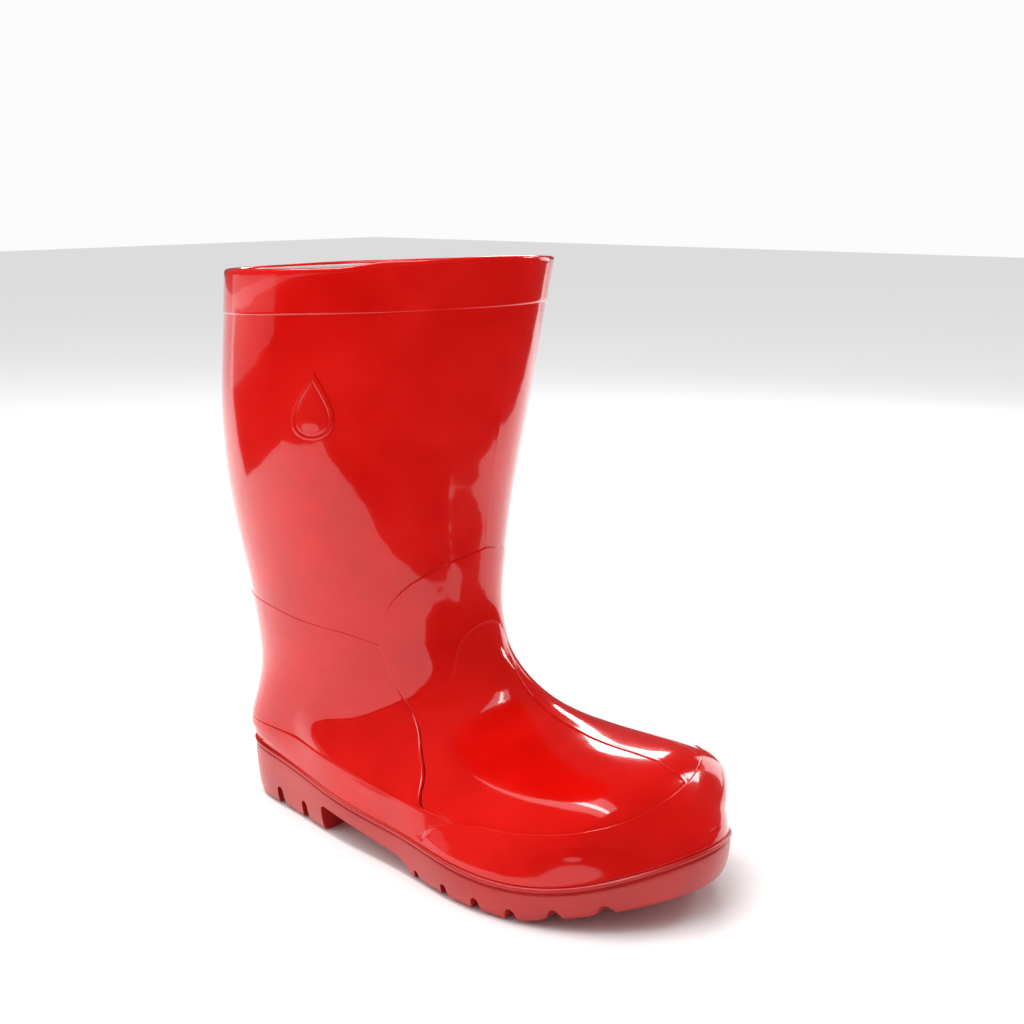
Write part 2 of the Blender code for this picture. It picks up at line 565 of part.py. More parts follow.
for _ in range(6):
    calm = guard.copy()
    calm[1:-1, 1:-1] = guard[1:-1, 1:-1] * .5 + (guard[1:-1, :-2] + guard[1:-1, 2:] + guard[:-2, 1:-1] + guard[2:, 1:-1]) * .125
    near = snap(calm, 0.0)
    gap = ((calm - near) * (calm - snap(calm, -1.0))).sum(axis=2) / np.maximum(np.linalg.norm(calm - snap(calm, -1.0), axis=2), 1e-6)
    guard[1:-1] = np.where((gap < GUARD_OUT)[..., None], snap(calm, GUARD_OUT), calm)[1:-1]
guard[1:-1, :, 2] = np.maximum(guard[1:-1, :, 2], sole_z(guard[1:-1, :, 1]) + .5)
sheet("toe_guard", guard, panel_red, boot, GUARD_OUT - GUARD_IN)


# Badge: a raised drop on the lateral side of the leg.
def drop_outline(count):
    a = np.linspace(0, 2 * math.pi, count, endpoint=False)
    y = np.cos(a)
    x = np.sin(a) * np.sin(a / 2) ** 1.3
    x, y = x / np.abs(x).max(), y
    return x * BADGE_HALF[0], y * BADGE_HALF[1]


bx, bz = drop_outline(28)
rings = np.array([1.0, .66, .33, 0.0])
bu, bv = BADGE_AT
per_u = float(np.linalg.norm(at(bu + .05, bv) - at(bu - .05, bv))) / .1
per_v = float(np.linalg.norm(at(bu, bv + .01) - at(bu, bv - .01))) / .02
low_point = 4.0
du = -((bz + low_point)[None] * rings[:, None] - low_point) / per_u
dv = -(bx[None] * rings[:, None]) / per_v
badge = at(bu + du, bv + dv, BADGE_OUT)
sheet("badge", badge, trim_red, boot, BADGE_OUT - BADGE_IN, closed=True, pole=True)


# ------------------------------------------------------------------- outsole
def ring_at(inset, z_of, count=96):
    o = through(OUTLINE, count, closed=True)
    o = o - outward(o) * inset
    return np.column_stack([o, z_of(o[:, 1])])


def ground(y):
    return np.maximum(0, (y - TOE_SPRING_FROM)) * TOE_SPRING + np.maximum(0, 4.0 - y) * 0.18


def toe_inset(o):
    return o


def solid_from_rings(name, rings, mat, where):
    """A closed body lofted through rings, with its two end rings filled."""
    bm = bmesh.new()
    vs = [[bm.verts.new(p) for p in world(r)] for r in rings]
    n = len(vs[0])
    for a, b in zip(vs, vs[1:]):
        for i in range(n):
            j = (i + 1) % n
            bm.faces.new((a[i], a[j], b[j], b[i]))
    for ring in (vs[0], vs[-1]):
        # each end is filled with strips across, mirrored index to index
        lo, hi = 1, n - 1
        bm.faces.new((ring[0], ring[1], ring[n - 1]))
        while hi - lo > 2:
            bm.faces.new((ring[lo], ring[lo + 1], ring[hi - 1], ring[hi]))
            lo, hi = lo + 1, hi - 1
        bm.faces.new((ring[lo], ring[lo + 1], ring[hi]))
    bmesh.ops.recalc_face_normals(bm, faces=bm.faces)
    mesh = bpy.data.meshes.new(name)
    bm.to_mesh(mesh)
    bm.free()
    return new_object(name, mesh, mat, where)


def top_edge(y):
    return sole_z(y)


def seat(y):
    """Height of the foot side of the sole, under the turned-in panels."""
    below = spline(STATIONS[7:, 3], STATIONS[7:, 4])
    return np.minimum(below(np.clip(y, 6, 200)) - VAMP_RAISE - 0.5, sole_z(y) + 1.6)


base = lambda inset, z_of: ring_at(inset, z_of)
sole_rings = [
    base(3.2, ground),
    base(1.4, lambda y: ground(y) * .8 + sole_z(y) * .2),
    base(0.3, lambda y: sole_z(y) - BEAD_HIGH - .6),
    base(-BEAD_OUT, lambda y: sole_z(y) - BEAD_HIGH),
    base(-BEAD_OUT, lambda y: sole_z(y) - .5),
    base(-.2, sole_z),
    base(5.5, lambda y: sole_z(y)),
    base(8.0, seat),
]
outsole = solid_from_rings("outsole", sole_rings, sole_red, boot)


def cutter(name, centre, size, turn=(0, 0, 0)):
    bpy.ops.mesh.primitive_cube_add(size=1)
    obj = bpy.context.object
    obj.name = name
    for c in list(obj.users_collection):
        c.objects.unlink(obj)
    tools.objects.link(obj)
    obj.scale = [s / 1000 for s in size]
    obj.location = world([centre])[0]
    obj.rotation_euler = turn
    obj.hide_render = True
    obj.display_type = "WIRE"
    return obj


def cut(target, tool, operation="DIFFERENCE"):
    m = target.modifiers.new("Cut", "BOOLEAN")
    m.operation = operation
    m.object = tool
    m.solver = "EXACT"


# Waist between the heel breast and the first forefoot lug.
HEEL_BREAST, FIRST_LUG = 54.4, 105.0
waist = cutter("waist_cutter", (0, (HEEL_BREAST + FIRST_LUG) / 2, HEEL_LUG / 2 - 6.6), (140, FIRST_LUG - HEEL_BREAST, 20),
               (math.atan2(4.6, FIRST_LUG - HEEL_BREAST), 0, 0))
waist.location.z = (8.4 - 10) / 1000
cut(outsole, waist)

# Side notches of the heel and cross grooves of the forefoot.
for n, y in enumerate((23.2, 41.4)):
    for sx in (-1, 1):
        cut(outsole, cutter(f"heel_notch_{n}_{sx}", (sx * 28, y, 1.0), (24, NOTCH, 13)))
for n, y in enumerate((112.2, 128.6, 144.0, 158.2, 173.2, 187.8)):
    z = float(ground(np.array(y)))
    cut(outsole, cutter(f"groove_{n}", (0, y, z + FORE_LUG / 2 - 4), (140, GROOVE, FORE_LUG + 8)))

# Recess under the heel seat and its filler, and a shallow one in the forefoot.
def pocket(name, y0, y1, half_w, z0, z1, mat, where, shrink=0.0, corner=6.0):
    bpy.ops.mesh.primitive_cube_add(size=1)
    obj = bpy.context.object
    obj.name = name
    for c in list(obj.users_collection):
        c.objects.unlink(obj)
    where.objects.link(obj)
    obj.data.materials.append(mat) if mat else None
    s = shrink
    obj.scale = ((2 * half_w - 2 * s) / 1000, (y1 - y0 - 2 * s) / 1000, (z1 - z0 - s) / 1000)
    obj.location = world([(0.5, (y0 + y1) / 2, (z0 + s + z1) / 2)])[0]
    bpy.context.view_layer.update()
    obj.data.transform(obj.matrix_world)
    obj.matrix_world.identity()
    obj.location, obj.scale = (0, 0, 0), (1, 1, 1)
    b = obj.modifiers.new("Corners", "BEVEL")
    b.width = (corner - s) / 1000
    b.segments = 3
    b.limit_method = "WEIGHT"
    layer = obj.data.attributes.new("bevel_weight_edge", "FLOAT", "EDGE")
    for e in obj.data.edges:
        a, c = (obj.data.vertices[i].co for i in e.vertices)
        layer.data[e.index].value = 1.0 if abs(a.z - c.z) > 1e-6 else 0.0
    return obj


heel_box = pocket("heel_recess_cutter", 8, 41, 15.5, 9, 40, None, tools, 0, 7)
heel_box.hide_render, heel_box.display_type = True, "WIRE"
cut(outsole, heel_box)
pocket("heel_filler", 8, 41, 15.5, 9, 20.2, filler, boot, 0.3, 7)
fore_box = pocket("fore_recess_cutter", 104, 172, 22, 9.2, 40, None, tools, 0, 10)
fore_box.hide_render, fore_box.display_type = True, "WIRE"
cut(outsole, fore_box)
pocket("forefoot_filler", 104, 172, 22, 9.2, 13.2, filler, boot, 0.3, 10)

# Centre the footprint box on the origin and stand the boot on z = 0.
bpy.context.view_layer.update()
graph = bpy.context.evaluated_depsgraph_get()
lo, hi = Vector((9, 9, 9)), Vector((-9, -9, -9))
for obj in boot.objects:
    ev = obj.evaluated_get(graph)
    me = ev.to_mesh()
    for v in me.vertices:
        w = ev.matrix_world @ v.co
        lo = Vector(map(min, lo, w))
        hi = Vector(map(max, hi, w))
    ev.to_mesh_clear()
shift = Vector((-(lo.x + hi.x) / 2, -(lo.y + hi.y) / 2, -lo.z))
for obj in list(boot.objects) + list(tools.objects):
    obj.location = obj.location + shift
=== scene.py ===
"""Looks of the rain boot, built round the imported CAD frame.

The foot-and-leg surface is lofted again here from the same section tables, at a
finer pitch, and each rubber panel is a closed sheet on it with a rounded,
raised edge. Lengths in the tables are millimetres in the last maker's frame:
x to the medial side, y forward from the heel seat, z up.
"""

import json
import math

import bmesh
import bpy
import numpy as np
from mathutils import Matrix, Vector
from mathutils.bvhtree import BVHTree
from mathutils.kdtree import KDTree

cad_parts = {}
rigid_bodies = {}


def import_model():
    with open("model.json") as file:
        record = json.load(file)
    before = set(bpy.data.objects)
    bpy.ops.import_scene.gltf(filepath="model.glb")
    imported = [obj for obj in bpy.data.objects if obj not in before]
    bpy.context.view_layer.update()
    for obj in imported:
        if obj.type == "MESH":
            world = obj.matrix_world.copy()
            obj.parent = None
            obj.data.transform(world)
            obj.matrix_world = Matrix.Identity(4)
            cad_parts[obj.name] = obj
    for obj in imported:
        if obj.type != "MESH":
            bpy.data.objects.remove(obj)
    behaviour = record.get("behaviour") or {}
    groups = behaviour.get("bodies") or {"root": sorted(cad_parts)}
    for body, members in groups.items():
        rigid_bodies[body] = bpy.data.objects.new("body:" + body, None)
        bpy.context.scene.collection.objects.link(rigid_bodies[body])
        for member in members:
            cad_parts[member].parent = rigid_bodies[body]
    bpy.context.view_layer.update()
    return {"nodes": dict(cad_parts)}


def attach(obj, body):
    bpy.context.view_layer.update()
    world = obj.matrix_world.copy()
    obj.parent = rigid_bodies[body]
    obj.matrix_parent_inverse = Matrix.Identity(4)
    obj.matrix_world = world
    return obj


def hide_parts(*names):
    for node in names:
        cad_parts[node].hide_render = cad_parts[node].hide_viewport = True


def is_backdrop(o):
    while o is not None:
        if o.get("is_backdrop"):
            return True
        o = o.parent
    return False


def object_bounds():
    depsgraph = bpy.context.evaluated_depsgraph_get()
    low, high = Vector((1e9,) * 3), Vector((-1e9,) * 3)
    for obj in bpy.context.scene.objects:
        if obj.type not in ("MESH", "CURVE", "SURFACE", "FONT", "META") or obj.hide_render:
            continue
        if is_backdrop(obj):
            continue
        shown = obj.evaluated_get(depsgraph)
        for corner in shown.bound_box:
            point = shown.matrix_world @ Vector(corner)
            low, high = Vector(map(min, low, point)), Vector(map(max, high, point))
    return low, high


for old in list(bpy.data.objects):
    bpy.data.objects.remove(old, do_unlink=True)

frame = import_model()
BODY = "root"

# ------------------------------------------------------------------ tables
STATIONS = np.array([
    # u    Dy     Dz     Py     Pz     wl    wm    qc   np   nd   xd   xp
    (0, 126.5, 215.5, -1.5, 209.0, 51.0, 51.0, .50, 2.2, 2.1, 0, 0),
    (1, 123.0, 198.0, -3.5, 191.0, 51.0, 51.0, .50, 2.2, 2.1, 0, 0),
    (2, 116.5, 162.0, -7.0, 156.0, 49.5, 48.0, .50, 2.2, 2.1, .5, 0),
    (3, 109.5, 132.0, -6.0, 121.5, 46.0, 44.0, .50, 2.2, 2.1, 2, 0),
    (4, 106.0, 108.0, -0.5, 91.5, 41.0, 39.0, .48, 2.2, 2.1, 3.5, 0),
    (5, 105.0, 89.5, 2.0, 67.0, 36.5, 34.5, .46, 2.2, 2.1, 5, 0),
    (6, 107.5, 77.0, 2.0, 46.0, 33.0, 31.5, .42, 2.6, 2.1, 6.5, 0),
    (7, 114.0, 68.5, 0.5, 27.5, 30.0, 29.0, .36, 4.0, 2.0, 7, 0),
    (8, 123.0, 61.0, 26.0, 23.0, 30.0, 27.5, .30, 4.4, 1.95, 8, 0),
    (9, 134.5, 55.5, 68.5, 19.5, 34.5, 29.0, .30, 4.6, 1.95, 8, 0),
    (10, 148.5, 52.0, 108.0, 16.0, 42.0, 34.5, .32, 4.6, 1.95, 8.5, 0),
    (11, 162.5, 50.5, 140.5, 15.0, 44.5, 39.0, .34, 4.4, 2.0, 8.5, 0),
    (12, 177.0, 49.5, 168.5, 16.0, 42.5, 38.0, .36, 3.8, 2.1, 8.5, .5),
    (13, 192.0, 44.5, 188.5, 19.5, 31.5, 31.5, .40, 3.2, 2.2, 7, 2),
    (14, 204.5, 29.5, 204.5, 29.5, 0, 0, .50, 2.2, 2.2, 3.5, 3.5),
])
OUTLINE = np.array([
    (0, -4.5), (-18.5, 3), (-26.2, 27), (-34.6, 64), (-40.2, 101), (-47, 133),
    (-44.5, 165.5), (-27.5, 194.5), (1.5, 207.5), (29, 194.5), (42, 167),
    (41, 137), (31.5, 101), (27.5, 65), (27.5, 29), (18, 3)], float)
SOLE_LINE = np.array([(-7, 24), (43, 20), (79, 16.5), (122, 15), (151, 13.5), (180, 16.5), (209, 26)], float)
LEG_SEAM = [(4.05, 0), (4.15, .14), (4.30, .26), (4.45, .36), (4.70, .46), (4.90, .54), (5.12, .62), (5.50, .70)]
VAMP_SEAM = [(3.83, 1.0), (3.90, .94), (4.00, .88), (4.20, .81), (4.40, .77), (4.65, .74), (5.05, .712), (5.50, .70),
             (5.90, .705), (6.70, .72), (7.65, .705), (8.40, .65), (8.80, .60), (9.35, .53), (9.75, .46), (10.0, .42),
             (10.3, .374), (10.6, .336), (10.75, .327)]
# Where the centre line is reached from each of those seam points.
VAMP_CENTRE = [3.83, 4.05, 4.30, 4.70, 5.00, 5.30, 5.75, 6.20,
               6.50, 7.10, 7.90, 8.55, 8.90, 9.40, 9.80, 10.05,
               10.32, 10.6, 10.75]
GUARD_EDGE = np.array([
    (-41, 117.5, 21), (-41.5, 124, 24), (-42, 133, 27), (-42, 144, 29), (-41.5, 154, 29.5), (-40, 163.5, 31),
    (-37.5, 173, 32.5), (-33, 181.5, 34.5), (-25, 189, 37), (-13, 193.5, 40), (0, 194.5, 42.5), (12, 192, 44.5),
    (22, 186.5, 44.5), (30, 178.5, 41), (35, 169, 36), (37, 159, 32), (38, 149, 29.5), (37.5, 139, 28),
    (37, 130, 26.5), (36.5, 122, 24), (36, 115.5, 21)], float)

WALL, LINING, FOOTBED = 2.0, 0.8, 2.5
LASTING = 6.5
BADGE_AT, BADGE_HALF = (1.87, 0.595), (9.0, 12.5)
TOE_SPRING_FROM, TOE_SPRING = 160.0, 0.22
Y_ORIGIN = 101.0
SHIFT = np.array([-0.076, -0.512, 0.0])      # from the last frame's centring to the row frame

# Heights of each layer above the last surface.
VAMP_UP, COUNTER_UP, STRIP_UP, GUARD_UP, FOXING_UP = 0.36, 0.16, 0.80, 1.05, 0.95


# --------------------------------------------------------------- last surface
def spline(xk, yk):
    xk, yk = np.asarray(xk, float), np.asarray(yk, float)
    n, h = len(xk), np.diff(xk)
    a, b = np.zeros((n, n)), np.zeros(n)
    a[0, 0] = a[-1, -1] = 1
    for i in range(1, n - 1):
        a[i, i - 1], a[i, i], a[i, i + 1] = h[i - 1], 2 * (h[i - 1] + h[i]), h[i]
        b[i] = 6 * ((yk[i + 1] - yk[i]) / h[i] - (yk[i] - yk[i - 1]) / h[i - 1])
    m = np.linalg.solve(a, b)

    def value(x):
        x = np.asarray(x, float)
        i = np.clip(np.searchsorted(xk, x) - 1, 0, n - 2)
        t, hi = x - xk[i], h[i]
        return (yk[i] + t * ((yk[i + 1] - yk[i]) / hi - hi * (2 * m[i] + m[i + 1]) / 6)
                + t ** 2 * m[i] / 2 + t ** 3 * (m[i + 1] - m[i]) / (6 * hi))
    return value


def through(points, count, closed=False):
    p = np.asarray(points, float)
    if closed:
        p = np.vstack([p[-4:], p, p[:5]])
    s = np.concatenate([[0], np.cumsum(np.linalg.norm(np.diff(p, axis=0), axis=1) ** .5)])
    f = [spline(s, p[:, k]) for k in range(p.shape[1])]
    lo, hi = (s[4], s[-5]) if closed else (s[0], s[-1])
    t = np.linspace(lo, hi, 6000)
    q = np.stack([g(t) for g in f], 1)
    d = np.concatenate([[0], np.cumsum(np.linalg.norm(np.diff(q, axis=0), axis=1))])
    want = np.linspace(0, d[-1], count + 1)[:-1] if closed else np.linspace(0, d[-1], count)
    return np.stack([np.interp(want, d, q[:, k]) for k in range(p.shape[1])], 1)


def smoothstep(x, a=0.0, b=1.0):
    t = np.clip((np.asarray(x, float) - a) / (b - a), 0, 1)
    return t * t * (3 - 2 * t)      # falls instead of rising where a is above b


NU, NV = 561, 512


def last_grid():
    u = np.linspace(0, 14, NU)
    col = [spline(STATIONS[:, 0], STATIONS[:, k])(u) for k in range(1, 12)]
    grid, girth = np.zeros((NU, NV, 3)), np.zeros(NU)
    th = np.linspace(0, math.pi / 2, 400)
    sin, cos = np.sin(th), np.cos(th)
    for i in range(NU):
        dy, dz, py, pz, wl, wm, qc, n1, n2, xd, xp = [c[i] for c in col]
        height = math.hypot(dy - py, dz - pz)
        halves = []
        for side, w in ((-1, max(wl, 0)), (1, max(wm, 0))):
            x = np.concatenate([w * sin ** (2 / n1), (w * sin ** (2 / n2))[::-1][1:]])
            q = np.concatenate([qc * (1 - cos ** (2 / n1)), (1 - (1 - qc) * (1 - cos ** (2 / n2)))[::-1][1:]])
            s = np.concatenate([[0], np.cumsum(np.hypot(np.diff(x), np.diff(q) * height))])
            t = np.linspace(0, s[-1], NV // 2 + 1)
            halves.append((side * np.interp(t, s, x), np.interp(t, s, q)))
            girth[i] += s[-1] / 2
        x = np.concatenate([halves[0][0], halves[1][0][::-1][1:-1]])
        q = np.concatenate([halves[0][1], halves[1][1][::-1][1:-1]])
        grid[i] = np.stack([x + xp + (xd - xp) * q, py + (dy - py) * q, pz + (dz - pz) * q], 1)
    # Even the bends a little round each section, more on the leg than on the foot.
    wide = np.interp(u, [0, 5, 7, 14], [5.0, 4.5, 1.6, 1.2])
    k = np.arange(NV // 2 + 1)
    for i in range(NU - 1):
        sigma = wide[i] / max(2 * girth[i] / NV, 1e-3)
        sigma = min(sigma, 14)
        damp = np.exp(-0.5 * (2 * math.pi * k * sigma / NV) ** 2)
        f = np.fft.rfft(grid[i], axis=0)
        grid[i] = np.fft.irfft(f * damp[:, None], n=NV, axis=0)
    half = np.maximum((np.maximum(col[4], 0) + np.maximum(col[5], 0)) / 2, 0)
    return grid, girth, half


GRID, GIRTH, HALF = last_grid()


def cubic_weights(t):
    return (-.5 * t + t ** 2 - .5 * t ** 3, 1 - 2.5 * t ** 2 + 1.5 * t ** 3,
            .5 * t + 2 * t ** 2 - 1.5 * t ** 3, -.5 * t ** 2 + .5 * t ** 3)


def spot(u, v):
    """Points of the last at station u and turn v."""
    u, v = np.broadcast_arrays(np.asarray(u, float), np.asarray(v, float))
    a = np.clip(u / 14 * (NU - 1), 0, NU - 1 - 1e-7)
    b = (v % 2.0) / 2.0 * NV
    i, j = np.floor(a).astype(int), np.floor(b).astype(int)
    wu, wv = cubic_weights(a - i), cubic_weights(b - j)
    out = 0.0
    for m in range(4):
        row = 0.0
        im = np.clip(i + m - 1, 0, NU - 1)
        for n in range(4):
            row = row + wv[n][..., None] * GRID[im, (j + n - 1) % NV]
        out = out + wu[m][..., None] * row
    return out


def normal_at(u, v):
    u, v = np.broadcast_arrays(np.asarray(u, float), np.asarray(v, float))
    c = np.clip(u, 0.04, 13.93)
    n = np.cross(spot(c + .03, v) - spot(c - .03, v), spot(c, v + .004) - spot(c, v - .004))
    n = n / np.maximum(np.linalg.norm(n, axis=-1, keepdims=True), 1e-12)
    return n * OUT_SIGN


OUT_SIGN = 1.0
_probe = spot(2.0, 0.5) - spot(2.0, np.linspace(0, 1.9, 20)).mean(axis=0)
if (normal_at(2.0, 0.5) * _probe).sum() < 0:
    OUT_SIGN = -1.0


def waves(p, u):
    """The gentle unevenness of a soft moulded leg, in mm."""
    x, y, z = p[..., 0], p[..., 1], p[..., 2]
    w = (np.sin(z / 12.5 + 1.4 * np.sin(y / 26 + .6)) * np.cos(y / 19 + x / 41 + .7)
         + .7 * np.sin(z / 21 - y / 15 + x / 24 + 2.1)
         + .5 * np.sin(y / 9.5 + 1.1 * np.sin(z / 17)) * np.sin(z / 30 + x / 18 + 1))
    amount = np.interp(u, [0, .8, 1.4, 3.6, 5.0, 8.0, 14], [.01, .03, .075, .075, .05, .03, .02])
    return w * amount


def at(u, v, lift=0.0):
    p = spot(u, v)
    u = np.broadcast_to(np.asarray(u, float), p.shape[:-1])
    n = normal_at(u, v)
    return p + n * (np.asarray(lift) + waves(p, u))[..., None]


def half_girth(u):
    return np.interp(np.asarray(u, float) / 14 * (NU - 1), np.arange(NU), GIRTH)


def sole_turn(u, margin):
    w = np.interp(np.asarray(u, float) / 14 * (NU - 1), np.arange(NU), HALF)
    return np.maximum((w - margin) / half_girth(u), 0.06)


def sole_z(y):
    return spline(SOLE_LINE[:, 0], SOLE_LINE[:, 1])(y)


def ground(y):
    return np.maximum(0, (y - TOE_SPRING_FROM)) * TOE_SPRING + np.maximum(0, 4.0 - y) * 0.18


def outward(o):
    t = np.roll(o, -1, 0) - np.roll(o, 1, 0)
    t = t / np.linalg.norm(t, axis=1, keepdims=True)
    n = np.stack([t[:, 1], -t[:, 0]], 1)
    return n if ((o - o.mean(0)) * n).sum() > 0 else -n


def fit_to_sole(grid):
    """Bring the foot's side wall over the sole's edge: flush along the heel and waist, and never beyond it at the toe."""
    rim = through(OUTLINE, 900, closed=True)
    out = outward(rim)
    h = grid[..., 2] - sole_z(grid[..., 1])
    rows, cols = np.nonzero((h > -9) & (h < 34))
    q = grid[rows, cols]
    near = np.empty(len(q), int)
    for a in range(0, len(q), 20000):
        part = q[a:a + 20000, None, :2] - rim[None]
        near[a:a + 20000] = np.argmin((part ** 2).sum(2), axis=1)
    off = ((q[:, :2] - rim[near]) * out[near]).sum(1)
    hh = h[rows, cols]
    behind = 1 - smoothstep(q[:, 1], 104, 122)
    want = -1.3 - .05 * np.maximum(hh, 0) * (1 - behind)
    step = want - off
    step = np.clip(np.where(step > 0, step * behind, step), -1.1, 2.2)
    step = step * smoothstep(-off, 11, 5) * (1 - smoothstep(hh, np.where(behind > .5, 11.0, 7.0), 31.0))
    move = np.zeros((*grid.shape[:2], 2))
    move[rows, cols] = out[near] * step[:, None]
    k = np.exp(-.5 * (np.arange(-6, 7) / 2.6) ** 2)
    k /= k.sum()
    move = sum(k[m + 6] * np.roll(move, m, 1) for m in range(-6, 7))
    pad = np.concatenate([np.repeat(move[:1], 6, 0), move, np.repeat(move[-1:], 6, 0)])
    move = sum(k[m] * pad[m:m + len(move)] for m in range(13))
    grid[..., :2] += move
    return grid


GRID = fit_to_sole(GRID)


def world(p):
    p = np.asarray(p, float)
    return np.stack([p[..., 0] + SHIFT[0], Y_ORIGIN - p[..., 1] + SHIFT[1], p[..., 2] + SHIFT[2]], -1) / 1000


def rounded(d, radius):
    """0 at an edge, 1 from `radius` in, with a quarter-round between."""
    t = np.clip(np.asarray(d, float) / radius, 0, 1)
    return np.sqrt(np.maximum(0, 1 - (1 - t) ** 2))


LIP = np.array([0, .03, .12, .25, .42, .62, .95, 1.4, 2.0, 2.8])


# ------------------------------------------------------------------- meshing
def closed_shell(name, outer, inner, ring=False, pole_first=False, pole_last=False, uv=None):
    """One closed mesh from an outer and an inner grid of the same size, in last-frame mm."""
    rows, cols = outer.shape[:2]
    index = np.arange(rows * cols).reshape(rows, cols)
    if pole_first:
        index[0] = index[0, 0]
    if pole_last:
        index[-1] = index[-1, 0]
    count = rows * cols
    nxt = np.roll(index, -1, 1) if ring else None
    a = index[:-1, :] if ring else index[:-1, :-1]
    b = nxt[:-1, :] if ring else index[:-1, 1:]
    c = nxt[1:, :] if ring else index[1:, 1:]
    d = index[1:, :] if ring else index[1:, :-1]
    quads = np.stack([a, b, c, d], -1).reshape(-1, 4)
    faces = [quads, (quads + count)[:, ::-1]]

    def rim(line, flip):
        line = np.asarray(line)
        e = np.stack([line[:-1], line[1:], line[1:] + count, line[:-1] + count], 1)
        faces.append(e[:, ::-1] if not flip else e)
    if ring:
        if not pole_first:
            rim(np.append(index[0], index[0, 0]), False)
        if not pole_last:
            rim(np.append(index[-1], index[-1, 0]), True)
    else:
        if not pole_first:
            rim(index[0], False)
        if not pole_last:
            rim(index[-1], True)
        rim(index[:, 0], True)
        rim(index[:, -1], False)
    faces = np.concatenate(faces)
    points = world(np.concatenate([outer.reshape(-1, 3), inner.reshape(-1, 3)]))
    used = np.unique(faces)
    remap = np.full(2 * count, -1)
    remap[used] = np.arange(len(used))
    points, faces = points[used], remap[faces]
    tri = np.concatenate([faces[:, [0, 1, 2]], faces[:, [0, 2, 3]]])
    v = points[tri]
    volume = np.einsum("ij,ij->i", v[:, 0], np.cross(v[:, 1], v[:, 2])).sum()
    if volume < 0:
        faces = faces[:, ::-1]
    face_list = []
    for f in faces.tolist():
        g = [x for i, x in enumerate(f) if x != f[i - 1]]
        if len(g) > 2:
            face_list.append(g)
    mesh = bpy.data.meshes.new(name)
    mesh.from_pydata(points.tolist(), [], face_list)
    mesh.validate()
    mesh.shade_smooth()
    if uv is not None:
        flat = np.concatenate([uv.reshape(-1, 2), uv.reshape(-1, 2)])[used]
        layer = mesh.uv_layers.new(name="UVMap")
        loops = np.empty(len(mesh.loops), np.int32)
        mesh.loops.foreach_get("vertex_index", loops)
        layer.data.foreach_set("uv", flat[loops].astype(np.float32).ravel())
    obj = bpy.data.objects.new(name, mesh)
    bpy.context.scene.collection.objects.link(obj)
    return obj


def finish_piece(obj, mat, node):
    obj.data.materials.clear()
    obj.data.materials.append(mat)
    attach(obj, BODY)
    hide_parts(node)
    return obj


def distance_to(line, points):
    tree = KDTree(len(line))
    for i, p in enumerate(line):
        tree.insert(p, i)
    tree.balance()
    flat = points.reshape(-1, 3)
    return np.array([tree.find(p)[2] for p in flat]).reshape(points.shape[:-1])


# ----------------------------------------------------------------- materials
def nodes_of(name):
    mat = bpy.data.materials.new(name)
    mat.use_nodes = True
    tree = mat.node_tree
    return mat, tree, tree.nodes["Principled BSDF"]


def node(tree, kind, **values):
    n = tree.nodes.new(kind)
    for key, value in values.items():
        if key in n.inputs:
            n.inputs[key].default_value = value
        else:
            setattr(n, key.lower(), value)
    return n


def noise(tree, coords, scale, detail=3.0, rough=.5, distort=0.0):
    n = tree.nodes.new("ShaderNodeTexNoise")
    n.inputs["Scale"].default_value = scale
    n.inputs["Detail"].default_value = detail
    n.inputs["Roughness"].default_value = rough
    n.inputs["Distortion"].default_value = distort
    tree.links.new(coords, n.inputs["Vector"])
    return n.outputs["Fac"]


def ramp(tree, fac, stops):
    n = tree.nodes.new("ShaderNodeValToRGB")
    while len(n.color_ramp.elements) < len(stops):
        n.color_ramp.elements.new(0.5)
    for e, (pos, colour) in zip(n.color_ramp.elements, stops):
        e.position = pos
        e.color = (*colour, 1) if len(colour) == 3 else colour
    tree.links.new(fac, n.inputs["Fac"])
    return n.outputs["Color"]


def span(tree, value, lo, hi, out_lo, out_hi):
    n = tree.nodes.new("ShaderNodeMapRange")
    n.inputs["From Min"].default_value = lo
    n.inputs["From Max"].default_value = hi
    n.inputs["To Min"].default_value = out_lo
    n.inputs["To Max"].default_value = out_hi
    tree.links.new(value, n.inputs["Value"])
    return n.outputs["Result"]


def maths(tree, op, a, b):
    n = tree.nodes.new("ShaderNodeMath")
    n.operation = op
    for i, x in enumerate((a, b)):
        if isinstance(x, (int, float)):
            n.inputs[i].default_value = x
        else:
            tree.links.new(x, n.inputs[i])
    return n.outputs[0]


def object_coords(tree, stretch=(1, 1, 1), turn=(0, 0, 0)):
    c = tree.nodes.new("ShaderNodeTexCoord")
    m = tree.nodes.new("ShaderNodeMapping")
    m.inputs["Scale"].default_value = stretch
    m.inputs["Rotation"].default_value = turn
    tree.links.new(c.outputs["Object"], m.inputs["Vector"])
    return m.outputs["Vector"]


def bump(tree, height, strength, distance, normal=None):
    n = tree.nodes.new("ShaderNodeBump")
    n.inputs["Strength"].default_value = strength
    n.inputs["Distance"].default_value = distance
    tree.links.new(height, n.inputs["Height"])
    if normal is not None:
        tree.links.new(normal, n.inputs["Normal"])
    return n.outputs["Normal"]


